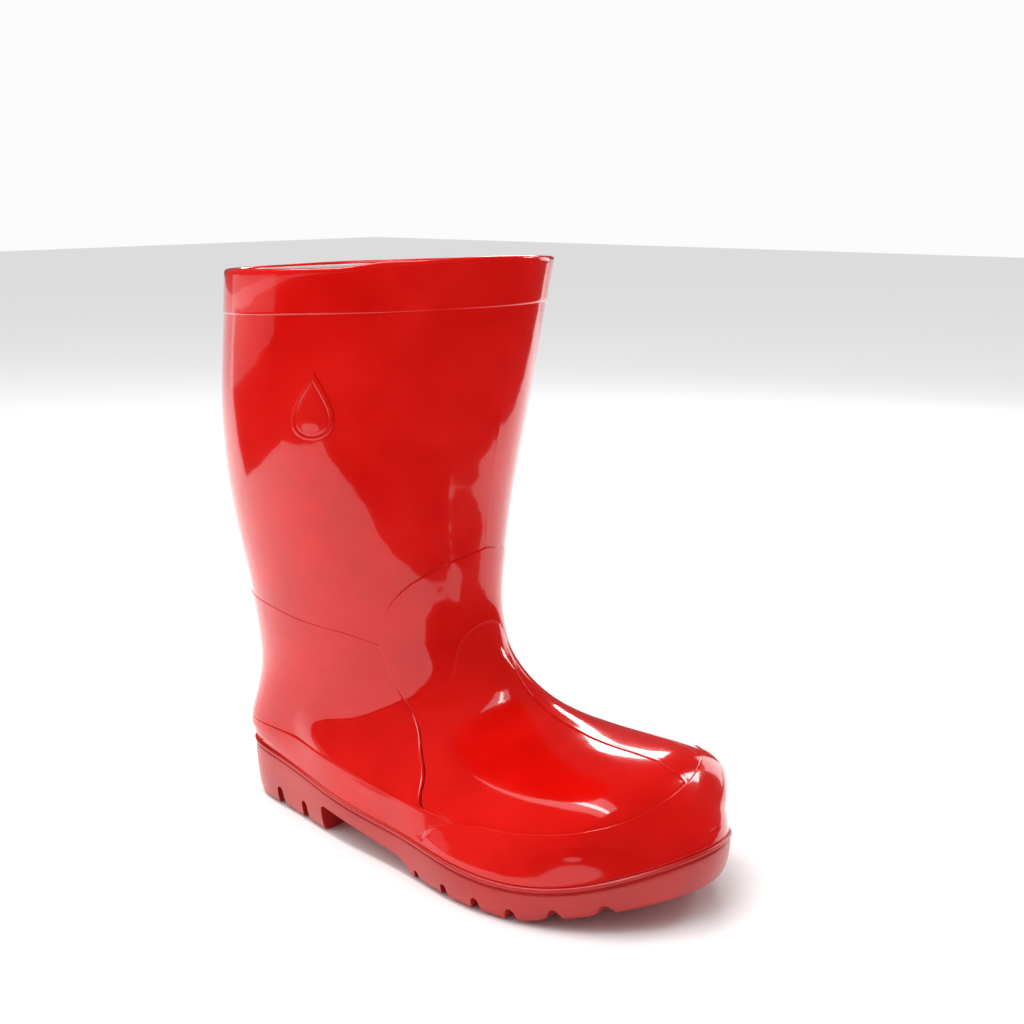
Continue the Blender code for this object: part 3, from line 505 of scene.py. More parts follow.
def red_gloss(name, tone=1.0, rough=(.10, .17), coat=.78, coat_rough=.035, grain=.12, scratch=.35):
    """Glossy soft red rubber: an even red with faint clouding, a wet coat, fine grain and hairline scratches."""
    mat, t, b = nodes_of(name)
    base = object_coords(t)
    cloud = noise(t, base, 38, 4, .55, .3)
    fine = noise(t, base, 420, 2, .5)
    deep, mid, light = [tuple(tone * c for c in rgb) for rgb in
                        ((.58, .0022, .0008), (.66, .0030, .0012), (.73, .0052, .0024))]
    t.links.new(ramp(t, cloud, [(.25, deep), (.52, mid), (.80, light)]), b.inputs["Base Color"])
    specks = span(t, fine, .35, .75, 0, .03)
    t.links.new(maths(t, "ADD", span(t, cloud, .3, .7, rough[0], rough[1]), specks), b.inputs["Roughness"])
    b.inputs["Coat Weight"].default_value = coat
    b.inputs["Coat Roughness"].default_value = coat_rough
    b.inputs["Specular IOR Level"].default_value = .16
    b.inputs["Subsurface Weight"].default_value = 0.06
    b.inputs["Subsurface Radius"].default_value = (1.0, .12, .08)
    b.inputs["Subsurface Scale"].default_value = 0.0015
    # Hairline scratches: long thin noise at two angles, kept only in patches.
    hair_a = noise(t, object_coords(t, (30, 30, 1600), (.5, .3, .2)), 1.0, 2, .6)
    hair_b = noise(t, object_coords(t, (1500, 40, 40), (.1, .7, .5)), 1.0, 2, .6)
    patch = span(t, noise(t, base, 22, 2, .5), .52, .68, 0, 1)
    lines = maths(t, "MAXIMUM", span(t, hair_a, .66, .74, 0, 1), span(t, hair_b, .68, .76, 0, 1))
    lines = maths(t, "MULTIPLY", lines, patch)
    swell = noise(t, base, 60, 2, .4)
    n1 = bump(t, swell, .22, .0006)
    n2 = bump(t, fine, grain, .00004, n1)
    n3 = bump(t, lines, scratch, -.00002, n2)
    t.links.new(n3, b.inputs["Normal"])
    coat_normal = bump(t, lines, scratch * .6, -.00002, n1)
    t.links.new(coat_normal, b.inputs["Coat Normal"])
    return mat


def red_satin(name):
    """The sole's red: the same rubber off a blasted mould, satin, with fine grain and scuffs low down."""
    mat, t, b = nodes_of(name)
    base = object_coords(t)
    cloud = noise(t, base, 55, 4, .6, .2)
    grit = noise(t, base, 1500, 2, .6)
    scuff = span(t, noise(t, object_coords(t, (260, 40, 340), (.2, .1, .4)), 1.0, 3, .65), .58, .78, 0, 1)
    t.links.new(ramp(t, cloud, [(.25, (.42, .0040, .0026)), (.55, (.50, .0060, .0040)), (.85, (.57, .0110, .0075))]),
                b.inputs["Base Color"])
    t.links.new(maths(t, "ADD", span(t, cloud, .3, .7, .27, .38), maths(t, "MULTIPLY", scuff, .12)), b.inputs["Roughness"])
    b.inputs["Coat Weight"].default_value = .25
    b.inputs["Coat Roughness"].default_value = .22
    b.inputs["Subsurface Weight"].default_value = 0.06
    b.inputs["Subsurface Radius"].default_value = (1.0, .12, .08)
    b.inputs["Subsurface Scale"].default_value = 0.0015
    n1 = bump(t, grit, .30, .00005)
    n2 = bump(t, scuff, .25, -.00004, n1)
    t.links.new(n2, b.inputs["Normal"])
    return mat


def knit_cloth(name, tint=(.86, .80, .78), ribs=170.0, courses=150.0):
    """Fine rib knit read from the piece's own UV map: wales across, courses along, fuzzy and slightly uneven, with
    painted shade down in the grooves between the ribs.
    """
    mat, t, b = nodes_of(name)
    uv = t.nodes.new("ShaderNodeUVMap")
    uv.uv_map = "UVMap"
    m = t.nodes.new("ShaderNodeMapping")
    m.inputs["Scale"].default_value = (ribs, courses, 1)
    t.links.new(uv.outputs["UV"], m.inputs["Vector"])
    sep = t.nodes.new("ShaderNodeSeparateXYZ")
    t.links.new(m.outputs["Vector"], sep.inputs[0])
    wale = maths(t, "ABSOLUTE", maths(t, "SINE", maths(t, "MULTIPLY", sep.outputs["X"], math.pi), 0), 0)
    slant = maths(t, "ADD", sep.outputs["Y"], maths(t, "MULTIPLY", wale, .6))
    loop = maths(t, "ABSOLUTE", maths(t, "SINE", maths(t, "MULTIPLY", slant, math.pi), 0), 0)
    relief = maths(t, "MULTIPLY", maths(t, "POWER", wale, .6), maths(t, "ADD", .45, maths(t, "MULTIPLY", loop, .55)))
    fuzz = noise(t, object_coords(t), 1400, 3, .6)
    cloud = noise(t, object_coords(t), 60, 3, .5)
    # Painted shade: the colour darkens where the rib relief is low, in the grooves between ribs, and lightens a little
    # on the rib tops, mixed with a random cloudy tone.
    shade = maths(t, "ADD", maths(t, "MULTIPLY", relief, .7), maths(t, "MULTIPLY", cloud, .3))
    dark = tuple(c * .62 for c in tint)
    t.links.new(ramp(t, shade, [(.10, dark), (.45, tint), (.9, tuple(min(1, c * 1.08) for c in tint))]), b.inputs["Base Color"])
    t.links.new(span(t, fuzz, .3, .7, .85, .97), b.inputs["Roughness"])
    b.inputs["Sheen Weight"].default_value = .35
    b.inputs["Sheen Roughness"].default_value = .5
    n1 = bump(t, relief, .8, .00035)
    n2 = bump(t, fuzz, .35, .00012, n1)
    t.links.new(n2, b.inputs["Normal"])
    return mat


def fibre(name, colour, scale, rough, depth):
    """Hidden board, felt or foam: mottled, with a fibrous or open-cell relief."""
    mat, t, b = nodes_of(name)
    base = object_coords(t)
    f = noise(t, base, scale, 4, .65)
    g = noise(t, object_coords(t, (scale * 3, scale * .5, scale)), 1.0, 3, .6)
    t.links.new(ramp(t, f, [(.25, tuple(c * .75 for c in colour)), (.6, colour), (.85, tuple(min(1, c * 1.15) for c in colour))]),
                b.inputs["Base Color"])
    t.links.new(span(t, g, .3, .7, rough - .05, rough + .05), b.inputs["Roughness"])
    t.links.new(bump(t, maths(t, "ADD", f, g), .5, depth), b.inputs["Normal"])
    return mat


LEG_RED = red_gloss("red_gloss_leg")
PANEL_RED = red_gloss("red_gloss_panel", 1.0, (.09, .16))
FOXING_RED = red_gloss("red_semi_gloss_foxing", .97, (.16, .24), .6, .09, .2)
GUARD_RED = red_gloss("red_gloss_toe_guard", .98, (.12, .19), .8, .05)
BADGE_RED = red_gloss("red_gloss_badge", .96, (.12, .2), .8, .06)
SOLE_RED = red_satin("red_satin_sole")
KNIT = knit_cloth("rib_knit_lining")
BED_KNIT = knit_cloth("footbed_knit_face", (.74, .70, .67), 60, 160)

# --------------------------------------------------------------------- vamp
seam = np.array(VAMP_SEAM)
key = np.concatenate([seam, np.array(VAMP_CENTRE)[:, None]], 1)
lower_u = np.array([11.1, 11.5, 12.0, 12.5, 13.0, 13.3])
lower = np.stack([lower_u, sole_turn(lower_u, LASTING), lower_u], 1)
track = through(np.concatenate([key, lower]), 4000)
soft = np.exp(-.5 * (np.arange(-90, 91) / 34) ** 2)
soft /= soft.sum()
eased = np.stack([np.convolve(np.pad(track[:, k], 90, mode="edge"), soft, mode="valid") for k in range(3)], 1)
blend = (smoothstep(np.arange(4000), 40, 420) * (1 - smoothstep(np.arange(4000), 3600, 3960)))[:, None]
track = track * (1 - blend) + eased * blend
tail_u = np.linspace(13.3, 13.93, 60)[1:]
tail_v = np.interp(tail_u, [13.3, 13.6, 13.93], [track[-1, 1], .21, .10])
track = np.concatenate([track, np.stack([tail_u, tail_v, tail_u], 1)])
edge_line = spot(track[:, 0], track[:, 1])
arc = np.concatenate([[0], np.cumsum(np.linalg.norm(np.diff(edge_line, axis=0), axis=1))])
seam_end = arc[np.argmin(np.abs(track[:, 0] - 10.75) + np.where(np.arange(len(track)) < 2000, 99, 0))]
steps = np.concatenate([[.06, .14, .26, .42, .62, .9, 1.3, 1.8, 2.4, 3.1],
                        np.arange(3.9, arc[-1], 1.0)])
rows_u = np.interp(steps, arc, track[:, 0])
rows_v = np.interp(steps, arc, track[:, 1])
rows_c = np.interp(steps, arc, track[:, 2])
inner_cols = 34
fill = np.linspace(0, 1, inner_cols)[1:]
span_mm = np.linalg.norm(spot(rows_u, rows_v) - spot(rows_c, 1.0), axis=1)
walk = np.zeros(len(steps))
for n in range(16):       # true length along the surface from the edge to the centre line
    f0, f1 = n / 16, (n + 1) / 16
    walk += np.linalg.norm(spot(rows_u + (rows_c - rows_u) * f1, rows_v + (1 - rows_v) * f1)
                           - spot(rows_u + (rows_c - rows_u) * f0, rows_v + (1 - rows_v) * f0), axis=1)
fixed = np.concatenate([LIP, LIP[-1] + fill * (np.maximum(walk, 6)[:, None].max() * 0 + 1)])
cols_t = np.zeros((len(steps), len(LIP) + inner_cols - 1))
for r, w in enumerate(walk):
    reach = LIP / w
    plain = np.linspace(0, 1, cols_t.shape[1])
    far = np.concatenate([reach, reach[-1] + (1 - reach[-1]) * fill]) if reach[-1] < .5 else plain
    near = plain
    k = float(smoothstep(w, 5.0, 9.0))
    cols_t[r] = far * k + near * (1 - k)
half_u = rows_u[:, None] + (rows_c - rows_u)[:, None] * cols_t
half_v = rows_v[:, None] + (1 - rows_v)[:, None] * cols_t
vu = np.concatenate([half_u, half_u[:, ::-1][:, 1:]], 1)
vv = np.concatenate([half_v, 2 - half_v[:, ::-1][:, 1:]], 1)
tip_u = np.full((1, vu.shape[1]), 3.83)
vu = np.concatenate([tip_u, vu, np.full((1, vu.shape[1]), 14.0)])
vv = np.concatenate([np.ones((1, vu.shape[1])), vv, np.ones((1, vu.shape[1]))])
both = np.concatenate([edge_line[arc <= seam_end + 2], spot(track[:, 0], 2 - track[:, 1])[arc <= seam_end + 2]])
away = distance_to(both, spot(vu, vv))
centre_pull = np.minimum(away, 99)
low_part = smoothstep(vu, 6.4, 7.6)
full = VAMP_UP * (1 - low_part) + (.19 + (VAMP_UP - .19) * smoothstep(away, 0, 8)) * low_part
vamp_lift = full * rounded(away, .4)
edge_cols = np.zeros(vu.shape, bool)
edge_cols[:, [0, -1]] = True
edge_cols[0] = True
vamp_lift = np.where(edge_cols & (away < .5), -.35 + .2 * low_part, vamp_lift)
# A mould parting line, barely raised, runs down the middle of the vamp.
crest = np.abs(vv - 1) * half_girth(vu)
vamp_lift = vamp_lift + 0.03 * np.exp(-(crest / .45) ** 2) * smoothstep(vu, 3.9, 4.2) * (1 - smoothstep(vu, 6.2, 6.9))
vamp_out = at(vu, vv, vamp_lift)
vamp_in = at(vu, vv, np.minimum(-WALL, vamp_lift - .4))
vamp = closed_shell("vamp_panel", vamp_out, vamp_in, pole_first=True, pole_last=True)
finish_piece(vamp, PANEL_RED, "vamp")

def rim_wave(v, u):
    """How far the soft rim stands up or sags, in mm: a small sag behind, a step up at the outer side."""
    w = np.interp(np.mod(v, 2), [0, .30, .64, .72, .80, .88, 1.0, 1.12, 1.22, 1.45, 2.0],
                  [-.2, -.7, -.8, .75, .95, .85, .30, -.35, -.75, -.3, -.2])
    return w * (1 - smoothstep(u, .05, .75))


# ---------------------------------------------------------------------- leg
leg_line = through(LEG_SEAM, 400)
upper = through(VAMP_SEAM, 1600)
upper = upper[:np.argmin(np.abs(upper[:, 0] - 5.5) + 9 * (upper[:, 1] < .69))]
edge = np.vstack([leg_line, upper[::-1]])
edge = edge[np.argsort(edge[:, 1], kind="stable")]
fine_v = np.linspace(0, 1, 2001)
fine_u = np.interp(fine_v, edge[:, 1], edge[:, 0])
padded_u = np.concatenate([fine_u[1:31][::-1], fine_u, fine_u[-31:-1][::-1]])
grown = np.array([padded_u[i + 30 - 24:i + 30 + 25].max() for i in range(len(fine_u))]) + .05
leg_cols = 640
leg_v = np.linspace(0, 2, leg_cols, endpoint=False)
low = np.interp(np.where(leg_v > 1, 2 - leg_v, leg_v), fine_v, grown)
leg_t = np.linspace(0, 1, 140)
leg_u = .13 + (low - .13)[None] * leg_t[:, None]
leg_vv = np.broadcast_to(leg_v, leg_u.shape)
# Parting lines of the mould, front and back.
side_front = np.minimum(np.abs(leg_vv - 1), 2) * half_girth(leg_u)
side_back = np.minimum(leg_vv, 2 - leg_vv) * half_girth(leg_u)
parting = .05 * np.exp(-(side_front / .5) ** 2) + .16 * np.exp(-(side_back / .5) ** 2)
leg_out = at(leg_u, leg_vv, parting)
leg_in = at(leg_u, leg_vv, -WALL)
leg_top = rim_wave(leg_vv, leg_u)
leg_out[..., 2] += leg_top
leg_in[..., 2] += leg_top
leg = closed_shell("leg_sheet", leg_out, leg_in, ring=True)
finish_piece(leg, LEG_RED, "leg_shell")

# ----------------------------------------------------------------- top band
band_profile = [(.955, -.3), (.950, .08), (.944, .22), (.935, .31), (.920, .36), (.89, .38), (.80, .40), (.65, .44), (.50, .48),
                (.35, .52), (.22, .55), (.13, .58), (.075, .55), (.035, .40), (.008, .10), (-.008, -.35), (-.012, -.85),
                (-.004, -1.35), (.018, -1.75), (.05, -1.98), (.09, -2.05), (.12, -2.05), (.12, -.12), (.5, -.12), (.93, -.3)]
bp = np.array(band_profile)
band_v = np.linspace(0, 2, leg_cols, endpoint=False)
rise_of_u = np.linalg.norm(spot(0.5, band_v) - spot(0.3, band_v), axis=-1) / .2
slope = (spot(.1, band_v) - spot(.0, band_v)) / .1
rim_part = .04 * np.exp(-((np.minimum(np.abs(band_v - 1), 2) * half_girth(.4)) / .5) ** 2) \
    + .14 * np.exp(-((np.minimum(band_v, 2 - band_v) * half_girth(.4)) / .5) ** 2)


def over_rim(u, v, lift):
    """Like at(), carried straight on above the rim for negative stations."""
    p = at(np.maximum(u, 0), v, lift)
    p = p + np.minimum(u, 0)[..., None] * np.broadcast_to(slope[None], p.shape)
    p[..., 2] += rim_wave(v, u)
    return p


bu = np.broadcast_to(bp[:, 0][:, None], (len(bp), leg_cols))
bl = bp[:, 1][:, None] + rim_part[None] * (bp[:, 1] > .05)[:, None]
# The rim is hand-trimmed: it rises and falls by a few tenths of a millimetre.
sway = .010 * np.sin(band_v * math.pi * 3 + .8) + .006 * np.sin(band_v * math.pi * 7 + 2.0)
bu = bu + sway[None] * (1 - smoothstep(bp[:, 0], .05, .4))[:, None]
band_pts = over_rim(bu, np.broadcast_to(band_v, bu.shape), bl)


def closed_loop_tube(name, pts, uv=None):
    """A ring swept round: rows close on themselves as well as columns."""
    rows, cols = pts.shape[:2]
    idx = np.arange(rows * cols).reshape(rows, cols)
    quads = np.stack([idx, np.roll(idx, -1, 1), np.roll(np.roll(idx, -1, 0), -1, 1), np.roll(idx, -1, 0)], -1).reshape(-1, 4)
    p = world(pts).reshape(-1, 3)
    tri = np.concatenate([quads[:, [0, 1, 2]], quads[:, [0, 2, 3]]])
    w = p[tri]
    if np.einsum("ij,ij->i", w[:, 0], np.cross(w[:, 1], w[:, 2])).sum() < 0:
        quads = quads[:, ::-1]
    mesh = bpy.data.meshes.new(name)
    mesh.from_pydata(p.tolist(), [], quads.tolist())
    mesh.validate()
    mesh.shade_smooth()
    obj = bpy.data.objects.new(name, mesh)
    bpy.context.scene.collection.objects.link(obj)
    return obj


band = closed_loop_tube("top_band_and_rim", band_pts)
band.data.set_sharp_from_angle(angle=math.radians(60))
finish_piece(band, LEG_RED, "top_band")


# ------------------------------------------------------------- heel counter
def counter_grid(n_side, downs):
    s, t = np.linspace(0, 1, n_side), np.asarray(downs)
    top_v = .71 * s
    line = through(LEG_SEAM + [(5.58, .712)], 800)
    top = np.stack([np.interp(top_v, line[:, 1], line[:, 0]), top_v], 1)
    far = through([(5.58, .712), (5.90, .716), (6.70, .731), (7.65, .716), (8.40, .661), (8.80, .611), (9.35, .541),
                   (9.75, .471), (10.0, .431), (10.3, .385), (10.58, .345)], 800)
    far = np.stack([np.interp(t, np.linspace(0, 1, 800), far[:, k]) for k in (0, 1)], 1)
    low_u = np.interp(s, [0, .12, .22, .32, .45, 1], [7.22, 7.22, 7.27, 7.55, 8.0, 10.58])
    low_v = np.interp(s, [0, .12, .22, .32], [0, .07, .125, .16])
    low = np.stack([low_u, np.where(s > .32, sole_turn(low_u, LASTING), low_v)], 1)
    far = far + np.outer(t, low[-1] - far[-1])
    top[-1] = far[0]
    near = np.stack([top[0, 0] + (low[0, 0] - top[0, 0]) * t, 0 * t], 1)
    p = ((1 - t)[:, None, None] * top[None] + t[:, None, None] * low[None]
         + (1 - s)[None, :, None] * near[:, None] + s[None, :, None] * far[:, None]
         - (1 - t)[:, None, None] * ((1 - s)[None, :, None] * top[0] + s[None, :, None] * top[-1])
         - t[:, None, None] * ((1 - s)[None, :, None] * low[0] + s[None, :, None] * low[-1]))
    left, right = p[:, ::-1].copy(), p.copy()
    right[..., 1] *= -1
    return np.concatenate([left, right[:, 1:]], axis=1), top


depth = 62.0
downs = np.concatenate([LIP / depth, LIP[-1] / depth + (1 - LIP[-1] / depth) * np.linspace(0, 1, 90)[1:]])
cg, ctop = counter_grid(120, downs)
away = distance_to(np.concatenate([spot(ctop[:, 0], ctop[:, 1]), spot(ctop[:, 0], -ctop[:, 1])]).repeat(1, axis=0), spot(cg[..., 0], cg[..., 1]))
dense_top = through([tuple(x) for x in ctop[::6]], 1200)
away = distance_to(np.concatenate([spot(dense_top[:, 0], dense_top[:, 1]), spot(dense_top[:, 0], -dense_top[:, 1])]),
                   spot(cg[..., 0], cg[..., 1]))
c_lift = COUNTER_UP * rounded(away, .4)
c_lift[0] = -.3
back = np.abs(cg[..., 1]) * half_girth(cg[..., 0])
c_lift = c_lift + .14 * np.exp(-(back / .5) ** 2) * (np.arange(len(cg)) > 3)[:, None]
counter = closed_shell("heel_counter_panel", at(cg[..., 0], cg[..., 1], c_lift), at(cg[..., 0], cg[..., 1], -WALL))
finish_piece(counter, PANEL_RED, "heel_counter")

# ------------------------------------------------------------ nearest points
BNU, BNV = 281, 256
_gu, _gv = np.linspace(0, 14, BNU), np.arange(BNV) / BNV * 2
_bg = spot(_gu[:, None], _gv[None])
_bn = normal_at(_gu[:, None] + 0 * _gv[None], _gv[None] + 0 * _gu[:, None])
_idx = np.arange(BNU * BNV).reshape(BNU, BNV)
_bf = np.stack([_idx[:-1], _idx[1:], np.roll(_idx, -1, 1)[1:], np.roll(_idx, -1, 1)[:-1]], -1).reshape(-1, 4)
TREE = BVHTree.FromPolygons([Vector(p) for p in _bg.reshape(-1, 3)], _bf.tolist())


def snap(p, lift):
    """Nearest points of the last to p, moved out by lift, and how far out p itself lies."""
    flat = np.asarray(p, float).reshape(-1, 3)
    out, off = np.zeros_like(flat), np.zeros(len(flat))
    lifts = np.broadcast_to(np.asarray(lift, float), np.shape(p)[:-1]).reshape(-1)
    for n, q in enumerate(flat):
        hit = TREE.find_nearest(Vector(q))
        i, j = divmod(hit[2], BNV)
        k = (j + 1) % BNV
        h = np.array(hit[0])
        corner = [(i, j), (i + 1, j), (i + 1, k), (i, k)]
        w = np.array([1 / (np.linalg.norm(_bg[c] - h) + .05) ** 2 for c in corner])
        m = sum(wc * _bn[c] for wc, c in zip(w, corner))
        m = m / np.linalg.norm(m)
        out[n] = h + m * lifts[n]
        off[n] = ((q - h) * m).sum()
    return out.reshape(np.shape(p)), off.reshape(np.shape(p)[:-1])


def cast(origin, toward, z):
    o = Vector((origin[0], origin[1], z))
    d = Vector((toward[0], toward[1], z)) - o
    hit = TREE.ray_cast(o, d.normalized(), 200.0)[0]
    return None if hit is None else np.array(hit[:2])


# ------------------------------------------------------------------- foxing
RIM_N = 720
rim_line = through(OUTLINE, RIM_N, closed=True)
rim_out = outward(rim_line)


def outline_index(side, y):
    ok = np.sign(rim_line[:, 0]) == side
    return int(np.argmin(np.where(ok, np.abs(rim_line[:, 1] - y), 1e9)))


def blur_rows(a, sigma):
    reach = int(3 * sigma) + 1
    k = np.exp(-.5 * (np.arange(-reach, reach + 1) / sigma) ** 2)
    k /= k.sum()
    padded = np.concatenate([np.repeat(a[:, :1], reach, 1), a, np.repeat(a[:, -1:], reach, 1)], 1)
    return np.stack([sum(k[m] * padded[:, m + i] for m in range(len(k))) for i in range(a.shape[1])], 1)


fox_k = np.linspace(outline_index(1, 131) - RIM_N, outline_index(-1, 135), 460)
fox_i = np.mod(fox_k, RIM_N)
fi, ff = np.floor(fox_i).astype(int) % RIM_N, (fox_i - np.floor(fox_i))[:, None]
fox_o = rim_line[fi] * (1 - ff) + rim_line[(fi + 1) % RIM_N] * ff
fox_n = rim_out[fi] * (1 - ff) + rim_out[(fi + 1) % RIM_N] * ff
fox_base = sole_z(fox_o[:, 1])
ups = np.array([-.2, .0, .4, .9, 1.6, 2.4, 3.4, 4.5, 5.7, 6.9, 8.0, 9.0, 9.9, 10.4, 10.75, 11.0, 11.2, 11.35, 11.46, 11.5])
edge_in = fox_o - fox_n * .35
body = np.zeros((len(ups), len(fox_k)))
for m, up in enumerate(ups):
    for n in range(len(fox_k)):
        o = fox_o[n]
        z = fox_base[n] + max(up, 5.0)
        c = np.array((1.0 + 2.0 * (o[1] > 100), min(max(o[1], 28.0), 160.0)))
        hit = cast(c, o, z)
        body[m, n] = ((hit - edge_in[n]) * fox_n[n]).sum() if hit is not None else -1.0
body = blur_rows(body, 5)
body = blur_rows(body.T, .8).T
lean = smoothstep(np.maximum(ups, 0) / 9.0)[:, None] * np.ones_like(body)
share_up = np.clip(ups / 11.5, 0, 1)[:, None]
straight = .12 + (body[-3] + .75 - .12)[None] * share_up
clear = .12 + (body + .45 - .12) * smoothstep(ups, 1.0, 4.0)[:, None]
fox_off = np.maximum(straight, clear) - .75 * (1 - rounded(11.5 - ups, .8))[:, None]
# Its two ends pass under the toe guard, whose edge slopes forward as it rises.
fox_z = fox_base[None] + ups[:, None]
guard_y = np.where(fox_o[:, 0][None] < 0, np.interp(fox_z, [15.5, 21, 24, 27], [115.5, 117.5, 124, 133]),
                   np.interp(fox_z, [15.0, 21, 24, 26.5], [113.5, 115.5, 122, 130]))
fox_off = fox_off - .95 * smoothstep(fox_o[:, 1][None] - guard_y, .8, 2.4)
fox_off[-1] = body[-1] - .5
xy = edge_in[None] + fox_n[None] * fox_off[..., None]
fox_out = np.concatenate([xy, np.broadcast_to((fox_base[None] + ups[:, None])[..., None], (*fox_off.shape, 1))], 2)
inner_off = np.minimum(fox_off, body) - 1.2
xy = edge_in[None] + fox_n[None] * inner_off[..., None]
fox_in = np.concatenate([xy, fox_out[..., 2:]], 2)
foxing = closed_shell("foxing_strip", fox_out, fox_in)
finish_piece(foxing, FOXING_RED, "foxing")

# ---------------------------------------------------------------- toe guard
gn = 300
top_line, _ = snap(through(GUARD_EDGE, gn), 0.0)
for _ in range(12):
    top_line[1:-1] = top_line[1:-1] * .5 + (top_line[:-2] + top_line[2:]) * .25
top_line, _ = snap(top_line, 0.0)
g_top, _ = snap(top_line, 1.0)
g_norm = g_top - top_line
gk = np.linspace(outline_index(-1, 115.5), outline_index(1, 113.5), gn)
gi, gf = np.floor(gk).astype(int) % RIM_N, (gk - np.floor(gk))[:, None]
g_o = rim_line[gi] * (1 - gf) + rim_line[(gi + 1) % RIM_N] * gf
g_n = rim_out[gi] * (1 - gf) + rim_out[(gi + 1) % RIM_N] * gf
g_low = np.concatenate([g_o - g_n * .25, sole_z(g_o[:, 1])[:, None] + .05], 1)
chord = g_low - top_line
length = np.linalg.norm(chord, axis=1, keepdims=True)
tan_top = chord - (chord * g_norm).sum(1, keepdims=True) * g_norm
tan_top = tan_top / np.linalg.norm(tan_top, axis=1, keepdims=True)
tan_low = np.concatenate([g_n * .12, -np.ones((gn, 1))], 1)
g_dist = np.concatenate([[0, .03, .12, .25, .42, .65], np.linspace(0, 1, 34)[1:] * 100 + .65])
share = np.zeros((len(g_dist), gn))
for n in range(gn):
    l = length[n, 0]
    lip = np.array([0, .03, .12, .25, .42, .65]) / max(l, 3.0)
    share[:, n] = np.concatenate([lip, lip[-1] + (1 - lip[-1]) * np.linspace(0, 1, len(g_dist) - 5)[1:]])
f = share[..., None]
h00, h10 = 2 * f ** 3 - 3 * f ** 2 + 1, f ** 3 - 2 * f ** 2 + f
h01, h11 = -2 * f ** 3 + 3 * f ** 2, f ** 3 - f ** 2
ends = np.minimum(np.arange(gn), gn - 1 - np.arange(gn)) / gn
stand = GUARD_UP + .5 * np.exp(-(ends / .045) ** 2)
start = top_line + g_norm * stand[:, None]
g_out = h00 * start[None] + h10 * (tan_top * length * 1.0)[None] + h01 * g_low[None] + h11 * (tan_low * length * .9)[None]
for turn in range(2):
    base, off = snap(g_out[6:-1], 0.0)
    lifted, _ = snap(g_out[6:-1], np.maximum(off, GUARD_UP))
    keep_z = g_out[6:-1, :, 2]
    g_out[6:-1] = np.where((off < GUARD_UP)[..., None] & (keep_z > sole_z(g_out[6:-1, :, 1]) + 2)[..., None], lifted, g_out[6:-1])
    for _ in range(10):
        g_out[6:-1, 1:-1] = g_out[6:-1, 1:-1] * .5 + (g_out[6:-1, :-2] + g_out[6:-1, 2:]) * .25
lip_drop = (1 - rounded(share * length[:, 0], .6)) * .7
lip_drop[0] = 1.1
g_out = g_out - g_norm[None] * lip_drop[..., None] * (share < .2)[..., None]
g_body, g_off = snap(g_out, 0.0)
g_inn = g_out - (g_out - g_body) * 0 - np.where(np.ones_like(g_out) > 0, 0, 0)
g_dir = g_norm[None] * (1 - share[..., None]) + np.concatenate([g_n, np.zeros((gn, 1))], 1)[None] * share[..., None]
g_dir = g_dir / np.linalg.norm(g_dir, axis=2, keepdims=True)
g_inn = g_out - g_dir * 1.3
guard = closed_shell("toe_guard_panel", g_out, g_inn)
finish_piece(guard, GUARD_RED, "toe_guard")

# ------------------------------------------------------------- instep strip
su = np.linspace(6.0, 13.45, 260)
sa = np.interp(su, [6.0, 6.2, 7.3, 8.25, 9.4, 10.65, 11.5, 12.2, 12.72], [1.042, 1.035, 1.0, .98, .955, .935, .925, .93, .945])
sb = np.interp(su, [6.0, 6.2, 7.3, 8.25, 9.4, 10.65, 11.5, 12.2, 12.72], [1.070, 1.075, 1.085, 1.10, 1.115, 1.125, 1.135, 1.15, 1.17])
for _ in range(30):
    sa[1:-1] = sa[1:-1] * .5 + (sa[:-2] + sa[2:]) * .25
    sb[1:-1] = sb[1:-1] * .5 + (sb[:-2] + sb[2:]) * .25
girths = half_girth(su)
width = (sb - sa) * girths
lipw = np.array([0, .03, .12, .25, .42, .62, .95])
cols = np.concatenate([lipw, lipw[-1] + (np.linspace(0, 1, 18)[1:-1]) * 1e-9, ])
sv, sd = [], []
for a, b, g, w in zip(sa, sb, girths, width):
    mid = np.linspace(lipw[-1], w - lipw[-1], 18)[1:-1]
    d = np.concatenate([lipw, mid, (w - lipw)[::-1]])
    sv.append(a + d / g)
    sd.append(np.minimum(d, w - d))
sv, sd = np.array(sv), np.array(sd)
suu = np.broadcast_to(su[:, None], sv.shape)
rise = (STRIP_UP - VAMP_UP) * smoothstep(suu, 6.0, 7.4)
s_lift = VAMP_UP - .05 + rise * rounded(sd, .6)
# A shallow groove runs just inside each edge.
s_lift = s_lift - .16 * np.exp(-((sd - 1.5) / .35) ** 2) * smoothstep(suu, 6.6, 7.6)
s_lift[:, [0, -1]] = VAMP_UP - .3
s_lift[0] = VAMP_UP - .3
strip = closed_shell("instep_ridge_strip", at(suu, sv, s_lift), at(suu, sv, s_lift * 0 - .1))
finish_piece(strip, PANEL_RED, "instep_strip")

# -------------------------------------------------------------------- badge
ang = np.linspace(0, 2 * math.pi, 200, endpoint=False)
dz = np.cos(ang)
dx = np.sin(ang) * np.sin(ang / 2) ** 1.3
dx = dx / np.abs(dx).max()
radii = np.array([0, .08, .16, .24, .32, .40, .48, .56, .62, .66, .69, .72, .75, .78, .81, .84, .87, .90, .925, .945, .962, .976, .988, .996, 1.0])[::-1]
per_u = float(np.linalg.norm(spot(BADGE_AT[0] + .05, BADGE_AT[1]) - spot(BADGE_AT[0] - .05, BADGE_AT[1]))) / .1
per_v = float(np.linalg.norm(spot(BADGE_AT[0], BADGE_AT[1] + .01) - spot(BADGE_AT[0], BADGE_AT[1] - .01))) / .02
low_point = 4.0
bdu = -((dz * BADGE_HALF[1] + low_point)[None] * radii[:, None] - low_point) / per_u
bdv = -(dx * BADGE_HALF[0])[None] * radii[:, None] / per_v
